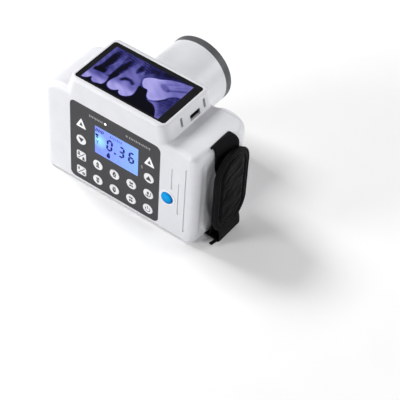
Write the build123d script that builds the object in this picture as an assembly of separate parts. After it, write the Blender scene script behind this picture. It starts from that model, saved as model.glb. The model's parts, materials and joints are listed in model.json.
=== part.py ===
from build123d import *
import os
from math import atan2, cos, sin

# Hand-held, battery-powered intraoral X-ray unit.
# Frame: origin on the flat base, +X to the operator's right (hand strap side), +Y along the beam
# (cone side), +Z up (display side). Millimetres.

# ---------------------------------------------------------------- driving dimensions
FRONT_Y = -36.6          # operator's face of the housing
BACK_Y = 32.5            # rear face round the cone
LEFT_X = -93.0
RIGHT_X = 84.0           # front right corner, before the grip lobe swells out
SHOULDER_Z = 108.5       # top of the main body, each side of the head
HEAD_TOP_Z = 125.4
MID_X = -6.3             # middle of the head, the panel and the cone
HEAD_HALF = 53.3         # half width of the head at its top
HEAD_SLOPE = 0.25        # the head widens by this much per millimetre downwards
HEAD_PROUD = 0.05        # the head stands this much proud of the body, front and back
LEFT_TOP_R = 26.0        # large roundings of the left side, seen from the front
LEFT_BASE_R = 10.5
RIM_R, BASE_R = 6.0, 4.0 # small roundings round the top and round the base
WALL = 2.5
CLEAR = 0.2
SEAM_Y = 29.9            # the front housing ends here
COVER_Y = SEAM_Y + 0.3   # the back cover starts here, after a fine seam

PANEL_W, PANEL_H = 102.5, 95.5
PANEL_Z = 52.8
RECESS = 1.0             # depth of the panel recess
SHEET = 0.9              # thickness of the keypad overlay
PITCH = 19.5             # column pitch of the keys
TOP_ROW, MID_ROW, LOW_ROW = 55.9, 35.6, 16.1
KEY_R = 5.5
KEY_SIDE = 10.8
KEY_TRAVEL = 0.3
LCD_W, LCD_H = 49.5, 33.6
LCD_X, LCD_Z = -4.05, 67.1
LAMP_Z = 92.0
READY_X, EXPOSING_X = -17.0, 7.3
LAMP_R = 1.25

BUTTON_X, BUTTON_Z = 54.6, 45.3
BUTTON_R = 6.25
BUTTON_TRAVEL = 1.4
GROOVES = ((58.6, 58.1, 83.4), (66.4, 30.7, 69.6), (73.6, 12.6, 91.4))   # x, low z, high z
GROOVE_W, GROOVE_DEEP = 1.8, 0.7

GLASS_Y = -2.35
GLASS_W, GLASS_D, GLASS_T = 100.1, 58.7, 1.1

USB_Y, USB_Z = 6.1, 113.3
USB_W, USB_H = 13.4, 5.4
SLIT_YS = (-12.9, 20.3)

CONE_Z = 76.0
CONE_R = 35.0
CONE_WALL = 2.5
CONE_END_Y = 94.5
RING_W = 8.3
SPIGOT_R = 26.0
BORE_R = 22.5
NUT_R = 27.8

PAD_X, PAD_Y, PAD_Z = 98.6, -2.4, 57.5
PAD_W, PAD_H, PAD_T = 49.0, 94.0, 8.0
WEB_T = 1.4
UPPER_WEB = (-15.2, 11.4)    # front and rear edge
LOWER_WEB = (-19.0, 13.5)
PIN_R = 1.3

BOARD_T = 1.6
BOSS_R = 3.5
SCREW_R = 1.45
BOSSES = ((-68, 9), (-68, 99), (70, 9), (69, 99), (-68, 54), (68, 62))
BOSS_END_Y = 27.0
TANK = (-50.3, 37.7, -4.0, BOSS_END_Y, 50.5, 101.5)
TANK_BOSSES = ((-44, 57), (31.4, 57), (-44, 95), (31.4, 95))
BOARD_POSTS = ((-60, 16), (-60, 88), (60, 16), (60, 88))
MAIN_BOARD_Y = -17.6
KEY_BOARD_Y = -32.4
KEY_BOARD_POSTS = ((-54.5, 8.5), (41.9, 8.5), (-54.5, 96.5), (41.9, 96.5))
TUBE_Y = 9.6
SOCKET_X, SOCKET_Z = 42.0, 24.0     # charging socket in the back cover
INSERT_R = 2.55                    # wall of the stand screw's thread
INSERT_DEEP = 6.8

PARTS = {}


# ---------------------------------------------------------------- helpers
def box(x0, x1, y0, y1, z0, z1):
    middle = ((x0 + x1) / 2, (y0 + y1) / 2, (z0 + z1) / 2)
    return Pos(*middle) * Box(x1 - x0, y1 - y0, z1 - z0)


def slab_x(sketch, x0, x1):
    """A (y, z) sketch extruded from x0 to x1."""
    return extrude(Plane.YZ.offset(x0) * sketch, amount=x1 - x0)


def slab_y(sketch, y0, y1):
    """An (x, z) sketch extruded from y0 to y1."""
    return extrude(Plane.XZ.offset(-y1) * sketch, amount=y1 - y0)


def slab_z(sketch, z0, z1):
    """An (x, y) sketch extruded from z0 to z1."""
    return extrude(Plane.XY.offset(z0) * sketch, amount=z1 - z0)


def disc_y(x, z, r, y0, y1):
    return slab_y(Pos(x, z) * Circle(r), y0, y1)


def ring_y(x, z, r_out, r_in, y0, y1):
    return disc_y(x, z, r_out, y0, y1) - disc_y(x, z, r_in, y0 - 1, y1 + 1)


def rod_x(y, z, r, x0, x1):
    return slab_x(Pos(y, z) * Circle(r), x0, x1)


def plate_y(x, z, w, h, r, y0, y1):
    """Upright plate with rounded corners, centred at (x, z)."""
    return slab_y(Pos(x, z) * RectangleRounded(w, h, r), y0, y1)


def plate_z(x, y, w, h, r, z0, z1):
    """Lying plate with rounded corners, centred at (x, y)."""
    return slab_z(Pos(x, y) * RectangleRounded(w, h, r), z0, z1)


def strip_outline(points, thickness):
    """Outline of a thin strip that follows the given points, mitred at its corners."""
    half = thickness / 2
    count = len(points)
    headings = [
        atan2(points[i + 1][1] - points[i][1], points[i + 1][0] - points[i][0]) for i in range(count - 1)
    ]
    sides = ([], [])
    for i, (u, v) in enumerate(points):
        before = headings[max(i - 1, 0)]
        after = headings[min(i, count - 2)]
        middle = (before + after) / 2
        reach = half / cos((after - before) / 2)
        for sign, side in zip((1, -1), sides):
            side.append((u - sign * reach * sin(middle), v + sign * reach * cos(middle)))
    return sides[0] + sides[1][::-1]


def keep(name, shape):
    """Files a shape as one node; the shape may hold several separate solids."""
    solids = shape.solids()
    PARTS[name] = solids[0] if len(solids) == 1 else Compound(children=solids)


def edges_within(shape, x=(-999, 999), y=(-999, 999), z=(-999, 999), longest=999, shortest=0):
    """Edges whose boxes lie inside the given ranges."""
    found = []
    for edge in shape.edges():
        low, high = edge.bounding_box().min, edge.bounding_box().max
        inside = x[0] < low.X and high.X < x[1] and y[0] < low.Y and high.Y < y[1]
        if inside and z[0] < low.Z and high.Z < z[1] and shortest < edge.length < longest:
            found.append(edge)
    return found


# ---------------------------------------------------------------- outer form of the housing
def body_outline():
    """Plan of the main body: square at the left, a rounded grip lobe at the right rear."""
    left_front, left_back, right_front = 13.0, 18.0, 8.0
    lobe_start_x = 51.0
    front = Line((LEFT_X + left_front, FRONT_Y), (RIGHT_X - right_front, FRONT_Y))
    turn = CenterArc((RIGHT_X - right_front, FRONT_Y + right_front), right_front, -90, 90)
    grip = Spline(
        (RIGHT_X, FRONT_Y + right_front),
        (86.3, -14.0),
        (91.2, 1.5),
        (93.5, 12.0),
        (91.6, 23.0),
        (85.8, 31.3),
        (77.0, 35.8),
        (67.5, 37.2),
        (58.5, 35.2),
        (lobe_start_x, BACK_Y),
        tangents=((0, 1), (-1, 0)),
    )
    back = Line((lobe_start_x, BACK_Y), (LEFT_X + left_back, BACK_Y))
    rear_turn = CenterArc((LEFT_X + left_back, BACK_Y - left_back), left_back, 90, 90)
    side = Line((LEFT_X, BACK_Y - left_back), (LEFT_X, FRONT_Y + left_front))
    front_turn = CenterArc((LEFT_X + left_front, FRONT_Y + left_front), left_front, 180, 90)
    return make_face([front, turn, grip, back, rear_turn, side, front_turn])


def grip_body():
    """Main body with the finger groove and the palm hollow behind the hand pad."""
    body = slab_z(body_outline(), 0, SHOULDER_Z)
    body = fillet(body.faces().sort_by(Axis.Z)[-1].edges(), RIM_R)
    body = fillet(body.faces().sort_by(Axis.Z)[0].edges(), BASE_R)
    groove_r, groove_low, groove_high = 4.7, 14.0, 93.0
    tool = slab_z(Circle(groove_r), groove_low, groove_high)
    tool += Pos(0, 0, groove_low) * Sphere(groove_r)
    tool += Pos(0, 0, groove_high) * Sphere(groove_r)
    body -= Pos(RIGHT_X + 4.0, -24.8, 0) * tool
    lips = edges_within(body, x=(80, 90), y=(-32, -18), z=(5, 101))
    lips = [edge for edge in lips if edge.bounding_box().size.Z > 1]
    body = fillet(lips, 3.0)
    palm = scale(Sphere(1.0), by=(35.5, 35.5, 66.0))
    body -= Pos(RIGHT_X + 32.5, -2.0, 52.0) * palm
    lips = edges_within(body, x=(80, 95), y=(-21, 30), z=(4.2, 102), shortest=150)
    return fillet(lips, 6.0)


def left_profile(inset, reach):
    """Front view of the body with its large left roundings, inset by a wall's thickness.

    The roundings reach past the left side by the given amount, so that they meet it at a slight angle.
    """
    left, low, high = LEFT_X + inset - reach, inset, SHOULDER_Z - inset
    outline = Polygon((left, low), (150, low), (150, high), (left, high), align=None)
    upper = outline.vertices().filter_by(lambda v: v.X < 0 and v.Y > 50)
    outline = fillet(upper, LEFT_TOP_R - inset)
    lower = outline.vertices().filter_by(lambda v: v.X < left + 1 and v.Y < low + 1)
    return fillet(lower, LEFT_BASE_R - inset)


def rim(body, low_z, high_z):
    """Edges round the top or the base, without upright edges and without smooth seams."""
    found = edges_within(body, z=(low_z, high_z), longest=160)
    upright = [edge for edge in found if edge.bounding_box().size.Z > 60]
    narrow = [edge for edge in found if edge.bounding_box().size.X < 0.01]
    seams = [edge for edge in narrow if edge.bounding_box().min.X > LEFT_X + 1]
    return [edge for edge in found if edge not in upright and edge not in seams]


def left_end(last_x):
    """Left end of the body, up to the given place, with the large roundings."""
    body = slab_z(body_outline(), 0, SHOULDER_Z)
    body &= slab_y(left_profile(0, 0.8), FRONT_Y - 10, BACK_Y + 10)
    body = fillet(rim(body, 80, 120), RIM_R)
    body = fillet(rim(body, -1, 12), BASE_R)
    return body & box(-120, last_x, -60, 60, -5, 120)


def draft_outline(low_half, low_z, top_half, top_z):
    """Drafted outline of the head, with its half widths at two heights."""
    low_left, low_right = (MID_X - low_half, low_z), (MID_X + low_half, low_z)
    top_left, top_right = (MID_X - top_half, top_z), (MID_X + top_half, top_z)
    return Polygon(low_left, low_right, top_right, top_left, align=None)


def head_block():
    """Block under the display, drafted at both sides, flush with the front and the back."""
    low_z = 94.0
    top = HEAD_HALF
    low = HEAD_HALF + (HEAD_TOP_Z - low_z) * HEAD_SLOPE
    outline = draft_outline(low, low_z, top, HEAD_TOP_Z)
    block = slab_y(outline, FRONT_Y - HEAD_PROUD, BACK_Y + HEAD_PROUD)
    block = fillet(edges_within(block, y=(-99, FRONT_Y + 1), z=(low_z - 1, 999), longest=40), 9.0)
    block = fillet(edges_within(block, y=(BACK_Y - 1, 99), z=(low_z - 1, 999), longest=40), 7.0)
    return fillet(block.faces().sort_by(Axis.Z)[-1].edges(), 2.6)


def outer_form():
    form = grip_body() + head_block()
    reach = HEAD_HALF + (HEAD_TOP_Z - SHOULDER_Z) * HEAD_SLOPE
    joint_z = (SHOULDER_Z - 0.1, SHOULDER_Z + 0.1)
    right = (MID_X + reach - 1, MID_X + reach + 0.2)
    left = (MID_X - reach - 0.2, MID_X - reach + 1)
    joints = edges_within(form, x=right, y=(-29, BACK_Y), z=joint_z, shortest=40)
    joints += edges_within(form, x=left, y=(-29, BACK_Y), z=joint_z, shortest=40)
    form = fillet(joints, 2.0)
    end_x = -66.5
    return (form & box(end_x, 120, -60, 60, -5, 150)) + left_end(end_x)


OUTER = outer_form()


# ---------------------------------------------------------------- front housing
def pocket_outline():
    """Plan of the main cavity, a wall's thickness inside the outer form."""
    inner_x, inner_right, inner_front = LEFT_X + WALL, 78.0, FRONT_Y + WALL
    front_r, back_r, small_r = 10.5, 15.5, 2.0
    back = SEAM_Y + 1.5
    plan = Polygon(
        (inner_x, inner_front), (inner_right, inner_front), (inner_right, back), (inner_x, back), align=None
    )
    corners = plan.vertices()
    plan = fillet(corners.filter_by(lambda v: v.X < 0 and v.Y < 0), front_r)
    plan = fillet(plan.vertices().filter_by(lambda v: v.X < inner_x + 1 and v.Y > 20), back_r)
    return fillet(plan.vertices().filter_by(lambda v: v.X > 70), small_r)


def head_cavity():
    """Space under the display, with the head's own draft, open to the main cavity below."""
    low_z, top_z = 104.0, HEAD_TOP_Z - WALL
    top = HEAD_HALF - WALL
    low = top + (top_z - low_z) * HEAD_SLOPE
    outline = draft_outline(low, low_z, top, top_z)
    block = slab_y(outline, FRONT_Y + WALL, BACK_Y - 5.0)
    return fillet(edges_within(block, z=(low_z - 1, 999), longest=25), 6.0)


KEYS = {
    "key_down": (-2, TOP_ROW, "round"),
    "key_up": (2, TOP_ROW, "round"),
    "key_patient": (-2, MID_ROW, "square"),
    "key_receptor": (-2, LOW_ROW, "square"),
    "key_upper_incisor": (-1, MID_ROW, "round"),
    "key_upper_premolar": (0, MID_ROW, "round"),
    "key_upper_molar": (1, MID_ROW, "round"),
    "key_bitewing": (2, MID_ROW, "round"),
    "key_lower_incisor": (-1, LOW_ROW, "round"),
    "key_lower_premolar": (0, LOW_ROW, "round"),
    "key_lower_molar": (1, LOW_ROW, "round"),
    "key_power": (2, LOW_ROW, "round"),
}


def key_shape(kind, margin):
    """Face outline of a key, grown by the margin."""
    if kind == "square":
        return RectangleRounded(KEY_SIDE + 2 * margin, KEY_SIDE + 2 * margin, 2.2 + margin)
    return Circle(KEY_R + margin)


def key_centre(name):
    column, z, _ = KEYS[name]
    return MID_X + 0.5 + column * PITCH, z


FLOOR_Y = FRONT_Y + RECESS           # bottom of the panel recess
INNER_Y = FRONT_Y + WALL             # inside of the front wall
FLANGE = 0.8                         # overhang of a key's flange
FLANGE_T = 0.3
STEM_R = 2.0
DOME_H = 0.75                        # height of a dome switch
STEM_END_Y = KEY_BOARD_Y - DOME_H - KEY_TRAVEL - 0.05


def strap_slots():
    """Slots, pin pockets and pin holes for the hand strap's webbing."""
    front, rear = UPPER_WEB[0] - 0.4, UPPER_WEB[1] + 0.4
    low_front, low_rear = LOWER_WEB[0] - 0.5, LOWER_WEB[1] + 0.5
    upper = box(81.9, 83.9, front, rear, 100, 112) + box(77.2, 83.9, front, rear, 95.8, 102.6)
    lower = box(84, 98, low_front, low_rear, 2.7, 4.7) + box(77.2, 84.5, low_front, low_rear, 2.8, 9.0)
    holes = slab_y(Pos(80.6, 99.2) * Circle(PIN_R + 0.02), front - 2.5, rear + 2.5)
    holes += slab_y(Pos(81.2, 5.8) * Circle(PIN_R + 0.02), low_front - 2.5, low_rear + 2.5)
    return upper + lower + holes


def front_housing():
    shell = OUTER & box(-120, 120, -60, SEAM_Y, -5, 150)
    pocket = slab_z(pocket_outline(), WALL, SHOULDER_Z - WALL)
    shell -= pocket & slab_y(left_profile(WALL, 0), -60, 60)
    shell -= head_cavity()
    # display seat and window
    shell -= plate_z(MID_X, GLASS_Y, GLASS_W + 0.3, GLASS_D + 0.3, 3.0, HEAD_TOP_Z - GLASS_T - 0.1, 140)
    shell -= plate_z(MID_X, GLASS_Y, GLASS_W - 4.6, GLASS_D - 5.0, 2.0, 118, 140)
    # panel recess, LCD window, lamp holes, key counterbores
    shell -= plate_y(MID_X, PANEL_Z, PANEL_W + 0.3, PANEL_H + 0.3, 6.15, FRONT_Y - 5, FLOOR_Y)
    shell -= plate_y(LCD_X, LCD_Z, LCD_W + 2.4, LCD_H + 2.4, 1.0, FRONT_Y - 5, INNER_Y + 1)
    for x in (READY_X, EXPOSING_X):
        shell -= disc_y(x, LAMP_Z, LAMP_R + 0.1, FRONT_Y - 5, INNER_Y + 1)
    for name, (_, _, kind) in KEYS.items():
        x, z = key_centre(name)
        shell -= slab_y(Pos(x, z) * key_shape(kind, FLANGE + CLEAR), FRONT_Y - 5, FLOOR_Y + 0.7)
        shell -= disc_y(x, z, STEM_R + CLEAR, FRONT_Y, INNER_Y + 1)
    # exposure button bore and grip grooves
    shell -= disc_y(BUTTON_X, BUTTON_Z, BUTTON_R + 1.2, FRONT_Y - 5, INNER_Y + 1)
    for x, low, high in GROOVES:
        shape = Pos(x, (low + high) / 2) * SlotOverall(high - low, GROOVE_W, rotation=90)
        shell -= slab_y(shape, FRONT_Y - 5, FRONT_Y + GROOVE_DEEP)
    # USB opening and the two slits in the head's right flank
    flank = (MID_X + HEAD_HALF - 6, MID_X + HEAD_HALF + 12)
    shell -= slab_x(Pos(USB_Y, USB_Z - 0.1) * RectangleRounded(USB_W + 0.8, USB_H + 0.6, 0.5), *flank)
    for y in SLIT_YS:
        shell -= slab_x(Pos(y, 116.5) * SlotOverall(9.4, 3.0, rotation=90), *flank)
    shell -= strap_slots()
    # posts for the cover screws, the main board, the keypad board and the display board
    for x, z in BOSSES:
        shell += ring_y(x, z, BOSS_R, SCREW_R + 0.05, INNER_Y - 0.5, BOSS_END_Y)
    for x, z in BOARD_POSTS:
        shell += ring_y(x, z, 3.0, 1.0, INNER_Y - 0.5, MAIN_BOARD_Y)
    for x, z in KEY_BOARD_POSTS:
        shell += ring_y(x, z, 2.2, 0.8, INNER_Y - 0.5, KEY_BOARD_Y)
    for x in (-45, 30):
        for y in (-31.3, 26.2):
            shell += slab_z(Pos(x, y) * Circle(1.8), 118.0, HEAD_TOP_Z - WALL + 0.5)
    # socket for the tripod insert
    shell += slab_z(Pos(MID_X, 0) * Circle(6.5), WALL - 0.5, 9.6)
    shell -= slab_z(Pos(MID_X, 0) * Circle(4.5), -1, 8.1)
    return shell


# ---------------------------------------------------------------- back cover
def back_cover():
    cover = OUTER & box(-120, 120, COVER_Y, 60, -5, 150)
    # locating lip inside the housing
    plan = (-70.5, 77.6, 3.0, SHOULDER_Z - WALL - 0.4)
    lip = box(plan[0], plan[1], 27.4, COVER_Y + 0.5, plan[2], plan[3])
    lip -= box(plan[0] + 1.6, plan[1] - 1.6, 20, 40, plan[2] + 1.6, plan[3] - 1.6)
    for x, z in BOSSES:
        lip -= disc_y(x, z, BOSS_R + 0.4, 20, 40)
    lip -= box(74, 84, 20, 40, 93, 110)
    cover += lip & box(-120, 120, 20, COVER_Y + 0.5, -5, 150)
    # screw posts, then their bores and head seats
    for x, z in BOSSES + TANK_BOSSES:
        cover += disc_y(x, z, BOSS_R, BOSS_END_Y + 0.1, COVER_Y + 0.5)
    for x, z in BOSSES + TANK_BOSSES:
        cover -= disc_y(x, z, SCREW_R + 0.15, 20, 60)
        cover -= disc_y(x, z, 3.2, COVER_Y + 0.8, 60)
    # cone opening and charging socket opening
    cover -= disc_y(MID_X, CONE_Z, SPIGOT_R + 0.05, 20, 60)
    cover -= disc_y(SOCKET_X, SOCKET_Z, 4.5, 20, 60)
    return cover


# ---------------------------------------------------------------- display head
def display_parts():
    base = HEAD_TOP_Z - GLASS_T
    keep("display_glass", plate_z(MID_X, GLASS_Y, GLASS_W, GLASS_D, 2.8, base, HEAD_TOP_Z))
    panel = plate_z(MID_X, GLASS_Y, GLASS_W - 5.4, GLASS_D - 5.8, 1.5, base - 5.2, base - 0.15)
    keep("display_panel", panel)
    board = box(MID_X - 47, MID_X + 44, -33.2, 27.0, 116.0, 117.6)
    chips = box(-30, -18, -8, 4, 114.6, 116.0) + box(-8, 2, -14, -6, 114.9, 116.0)
    chips += box(10, 22, 4, 10, 114.8, 116.0)
    keep("display_board", board + chips)


def usb_port():
    """Receptacle shell with its tongue, hung under the display board."""
    x0, x1 = 34.5, 49.0
    shell = box(x0, x1, USB_Y - USB_W / 2, USB_Y + USB_W / 2, USB_Z - USB_H / 2, USB_Z + USB_H / 2)
    shell -= box(x0 + 1.0, x1 + 1, USB_Y - USB_W / 2 + 0.4, USB_Y + USB_W / 2 - 0.4,
                 USB_Z - USB_H / 2 + 0.4, USB_Z + USB_H / 2 - 0.4)
    tongue = box(x0 + 0.9, x1 - 1.5, USB_Y - 5.4, USB_Y + 5.4, USB_Z + 0.5, USB_Z + 2.0)
    return shell + tongue


# ---------------------------------------------------------------- operator panel
def keypad_overlay():
    sheet = plate_y(MID_X, PANEL_Z, PANEL_W, PANEL_H, 6.0, FLOOR_Y - SHEET, FLOOR_Y)
    sheet -= plate_y(LCD_X, LCD_Z, LCD_W + 0.1, LCD_H + 0.1, 1.0, FRONT_Y - 5, FLOOR_Y + 1)
    for x in (READY_X, EXPOSING_X):
        sheet -= disc_y(x, LAMP_Z, LAMP_R + 0.05, FRONT_Y - 5, FLOOR_Y + 1)
    for name, (_, _, kind) in KEYS.items():
        x, z = key_centre(name)
        sheet -= slab_y(Pos(x, z) * key_shape(kind, CLEAR), FRONT_Y - 5, FLOOR_Y + 1)
    return sheet


def key(name):
    """One key: cap in the overlay, flange behind it, stem down to its dome switch."""
    _, _, kind = KEYS[name]
    x, z = key_centre(name)
    front = FLOOR_Y - SHEET - 0.3
    flange_y = FLOOR_Y + 0.05
    cap = slab_y(Pos(x, z) * key_shape(kind, 0), front, flange_y + FLANGE_T)
    face = cap.faces().sort_by(Axis.Y)[0]
    cap = fillet(face.edges(), 0.25)
    flange = slab_y(Pos(x, z) * key_shape(kind, FLANGE), flange_y, flange_y + FLANGE_T)
    stem = disc_y(x, z, STEM_R, flange_y, STEM_END_Y)
    return cap + flange + stem


def keypad_parts():
    keep("keypad_overlay", keypad_overlay())
    keep("lcd_window", plate_y(LCD_X, LCD_Z, LCD_W, LCD_H, 0.95, FLOOR_Y - SHEET, FLOOR_Y))
    lcd = plate_y(LCD_X, LCD_Z, LCD_W + 2.0, LCD_H + 2.0, 1.0, FLOOR_Y + 0.1, INNER_Y + 0.2)
    lcd += box(LCD_X - 28, LCD_X + 28, INNER_Y + 0.15, INNER_Y + 5.5, LCD_Z - 20.5, LCD_Z + 20.5)
    keep("lcd_module", lcd)
    board = box(-62, BUTTON_X - 9.0, KEY_BOARD_Y, KEY_BOARD_Y + BOARD_T, 4.5, 101.5)
    board -= box(LCD_X - 28.5, LCD_X + 28.5, -40, -20, LCD_Z - 21, LCD_Z + 21)
    for x, z in BOARD_POSTS:
        board -= disc_y(x, z, 3.4, -40, -20)
    for x, z in KEY_BOARD_POSTS:
        board -= disc_y(x, z, 1.1, -40, -20)
    keep("keypad_board", board)
    domes = [disc_y(*key_centre(name), 2.6, KEY_BOARD_Y - DOME_H, KEY_BOARD_Y) for name in KEYS]
    keep("key_domes", Compound(children=domes))
    for name in KEYS:
        keep(name, key(name))
    for name, x in (("ready_lamp", READY_X), ("exposure_lamp", EXPOSING_X)):
        keep(name, disc_y(x, LAMP_Z, LAMP_R, FLOOR_Y - SHEET, KEY_BOARD_Y - 0.1))


# ---------------------------------------------------------------- exposure button
def button_parts():
    x, z = BUTTON_X, BUTTON_Z
    collar = ring_y(x, z, BUTTON_R + 1.15, BUTTON_R + CLEAR, FRONT_Y, INNER_Y)
    collar += ring_y(x, z, BUTTON_R + 2.3, BUTTON_R + CLEAR, FRONT_Y - 0.6, FRONT_Y)
    keep("button_collar", collar)
    cap = disc_y(x, z, BUTTON_R, FRONT_Y - 1.9, INNER_Y + 1.0)
    cap = fillet(cap.faces().sort_by(Axis.Y)[0].edges(), 0.9)
    cap += disc_y(x, z, BUTTON_R + 1.6, INNER_Y + 0.1, INNER_Y + 1.1)
    stem_end = -29.3
    cap += disc_y(x, z, 2.0, INNER_Y + 1.0, stem_end)
    keep("exposure_button", cap)
    coil_r, wire_r, coil_y0, coil_y1 = 4.2, 0.35, INNER_Y + 1.45, -26.6
    pitch = (coil_y1 - coil_y0 - 0.1) / 4
    helix = Helix(pitch, pitch * 4, coil_r, center=(0, 0, 0), direction=(0, 0, 1))
    wire = sweep(Plane(origin=helix @ 0, z_dir=helix % 0) * Circle(wire_r), path=helix)
    keep("button_spring", Pos(x, coil_y0, z) * Rot(-90, 0, 0) * wire)
    switch_y0, switch_y1 = -26.2, -23.0
    switch = box(x - 6, x + 6, switch_y0, switch_y1, z - 6, z + 6)
    switch += disc_y(x, z, 1.75, stem_end + BUTTON_TRAVEL + 0.15, switch_y0)
    keep("exposure_switch", switch)
    keep("switch_board", box(x - 8.6, x + 10.4, switch_y1, switch_y1 + BOARD_T, z - 11, z + 11))


# ---------------------------------------------------------------- X-ray generator and cone
def tube_rod(r, left, right):
    """Rod on the X-ray tube's axis, with its ends given from the middle of the head."""
    return rod_x(TUBE_Y, CONE_Z, r, MID_X + left, MID_X + right)


def generator_parts():
    x0, x1, y0, y1, z0, z1 = TANK
    wall, back_wall = 2.5, 4.0
    tank = box(*TANK) - box(x0 + wall, x1 - wall, y0 - 1, y1 - back_wall, z0 + wall, z1 - wall)
    tank -= disc_y(MID_X, CONE_Z, 8.0, 0, 40)
    for x, z in TANK_BOSSES:
        tank -= disc_y(x, z, SCREW_R + 0.05, y1 - 3.0, y1 + 1)
    keep("generator_tank", tank)
    keep("generator_lid", box(x0 - 0.5, x1 + 0.5, y0 - 2.5, y0, z0 - 0.5, z1 + 0.5))
    tube = tube_rod(12.0, -31, 31) - tube_rod(10.8, -29.8, 29.8)
    keep("tube_glass", tube)
    anode = tube_rod(7.0, -2, 29.5)
    anode -= Pos(MID_X - 6, TUBE_Y + 4, CONE_Z) * Rot(0, 0, -20) * Box(10, 40, 20)
    keep("tube_anode", anode)
    keep("tube_cathode", tube_rod(6.0, -29.5, -13) + tube_rod(2.5, -13.1, -10))
    shield = tube_rod(13.4, -33, 33) - tube_rod(12.4, -34, 34)
    shield -= box(-60, 60, TUBE_Y + 6, 40, 50, 100)
    keep("lead_shield", shield)
    keep("high_voltage_block", box(-46, 33.4, -2, 21, z0 + wall + 0.2, CONE_Z - 15.6))


def cone_parts():
    x, z = MID_X, CONE_Z
    body_end = CONE_END_Y - RING_W
    inner = CONE_R - CONE_WALL
    cone = ring_y(x, z, CONE_R, inner, BACK_Y + 2, body_end)
    cone += ring_y(x, z, CONE_R, 18.0, BACK_Y + HEAD_PROUD + 0.02, BACK_Y + 3)
    cone += ring_y(x, z, SPIGOT_R, BORE_R, BOSS_END_Y + 0.4, BACK_Y + 1)
    keep("beam_cone", cone)
    ring = ring_y(x, z, CONE_R, inner - 1.0, body_end, CONE_END_Y)
    ring = fillet(edges_within(ring, y=(CONE_END_Y - 0.1, 999)), 0.8)
    keep("cone_end_ring", ring)
    keep("cone_liner", ring_y(x, z, inner, inner - 1.0, BACK_Y + 3.0, body_end))
    keep("cone_nut", ring_y(x, z, NUT_R, SPIGOT_R, BOSS_END_Y + 0.4, COVER_Y))
    keep("collimator", ring_y(x, z, BORE_R - 0.5, 7.0, BOSS_END_Y, BOSS_END_Y + 3))
    keep("aluminium_filter", disc_y(x, z, 12.0, BOSS_END_Y + 3, BOSS_END_Y + 4.5))


# ---------------------------------------------------------------- boards, battery, socket
def inner_parts():
    y = MAIN_BOARD_Y
    board = box(-62, 64, y, y + BOARD_T, 10, 101)
    for x, z in BOARD_POSTS:
        board -= disc_y(x, z, 1.2, -40, 0)
    board += box(-30, -12, y - 2.0, y, 60, 78) + box(10, 20, y - 1.6, y, 62, 72)
    for x in (-40, -26, -12):
        board += disc_y(x, 30, 5.0, y - 9.5, y)
    keep("main_board", board)
    keep("buzzer", disc_y(52, 82, 6.0, y - 6, y) - disc_y(52, 82, 1.0, y - 7, y - 4))
    cells = [rod_x(row, level, 9.2, -55, 10) for row in (-0.5, 18.5) for level in (21.2, 40.2)]
    keep("battery_cells", Compound(children=cells))
    tray = box(-57, 12, -11.2, 29.2 - 2.0, 10.2, 49.8) - box(-55.8, 10.8, -10, 26.0 + 2, 11.4, 51)
    tray -= box(-50, 5, -20, 40, 16, 45)
    keep("battery_tray", tray)
    socket = box(SOCKET_X - 5, SOCKET_X + 5, 17, COVER_Y, SOCKET_Z - 5.5, SOCKET_Z + 5.5)
    socket += disc_y(SOCKET_X, SOCKET_Z, 4.4, COVER_Y - 1, BACK_Y)
    socket -= disc_y(SOCKET_X, SOCKET_Z, 2.9, 22, 60)
    socket += disc_y(SOCKET_X, SOCKET_Z, 1.0, 21, BACK_Y - 1.5)
    keep("charging_socket", socket)


# ---------------------------------------------------------------- hand strap
def webbing(edges, front_points, rear_points):
    """Flat strap between a front and a rear edge, each a path of as many (x, z) points."""
    faces = []
    for y, points in zip(edges, (front_points, rear_points)):
        outline = make_face(Polyline(*strip_outline(points, WEB_T), close=True))
        faces.append(Plane.XZ.offset(-y) * outline)
    return loft(faces, ruled=True)


def upper_webbing():
    """Round its pin, up through the shoulder slot, draped over the lobe and down behind the pad."""
    anchor = ((78.3, 100.8), (78.3, 96.8), (82.9, 96.8))
    front_drape = ((82.9, 108.6), (84.3, 109.5), (86.5, 107.0), (87.6, 102.5), (87.9, 95.0))
    rear_drape = ((82.9, 109.0), (84.4, 110.1), (90.8, 109.6), (94.5, 105.8), (95.1, 99.0))
    front_end = ((88.3, 86.0), (91.0, 76.0), (93.7, 66.0))
    rear_end = ((94.9, 90.0), (94.2, 78.0), (93.8, 66.0))
    return webbing(UPPER_WEB, anchor + front_drape + front_end, anchor + rear_drape + rear_end)


def lower_webbing():
    """Round its pin, out of the base slot and up round the pad's foot, with a layer behind the pad."""
    turn = (
        (83.6, 7.9), (78.3, 7.9), (78.3, 3.7), (95.0, 3.7), (97.0, 1.7),
        (99.9, 1.7), (101.6, 4.6), (101.2, 11.0), (99.4, 18.5),
    )
    front_layer = ((88.9, 3.2), (89.9, 9.0), (91.2, 17.0), (92.9, 32.0))
    rear_layer = ((95.1, 3.2), (95.0, 9.0), (93.9, 17.0), (93.8, 32.0))
    return webbing(LOWER_WEB, turn, turn) + webbing(LOWER_WEB, front_layer, rear_layer)


def strap_parts():
    front, rear = UPPER_WEB
    keep("upper_webbing", upper_webbing())
    keep("lower_webbing", lower_webbing())
    pad_face = Pos(PAD_Y, PAD_Z) * RectangleRounded(PAD_W, PAD_H, 23.5)
    pad = slab_x(pad_face, PAD_X - PAD_T / 2, PAD_X + PAD_T / 2)
    outer_edges = edges_within(pad, x=(PAD_X + PAD_T / 2 - 0.1, 999))
    pad = fillet(outer_edges, 3.0)
    keep("hand_pad", pad)
    keep("strap_tail", Pos(97.6, -21.5, 3.1) * Rot(0, 0, -8) * Box(3.8, 9, WEB_T))
    pins = slab_y(Pos(80.6, 99.2) * Circle(PIN_R), front - 2.5, rear + 2.5)
    pins += slab_y(Pos(81.2, 5.8) * Circle(PIN_R), LOWER_WEB[0] - 2.5, LOWER_WEB[1] + 2.5)
    keep("strap_pins", pins)


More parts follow.
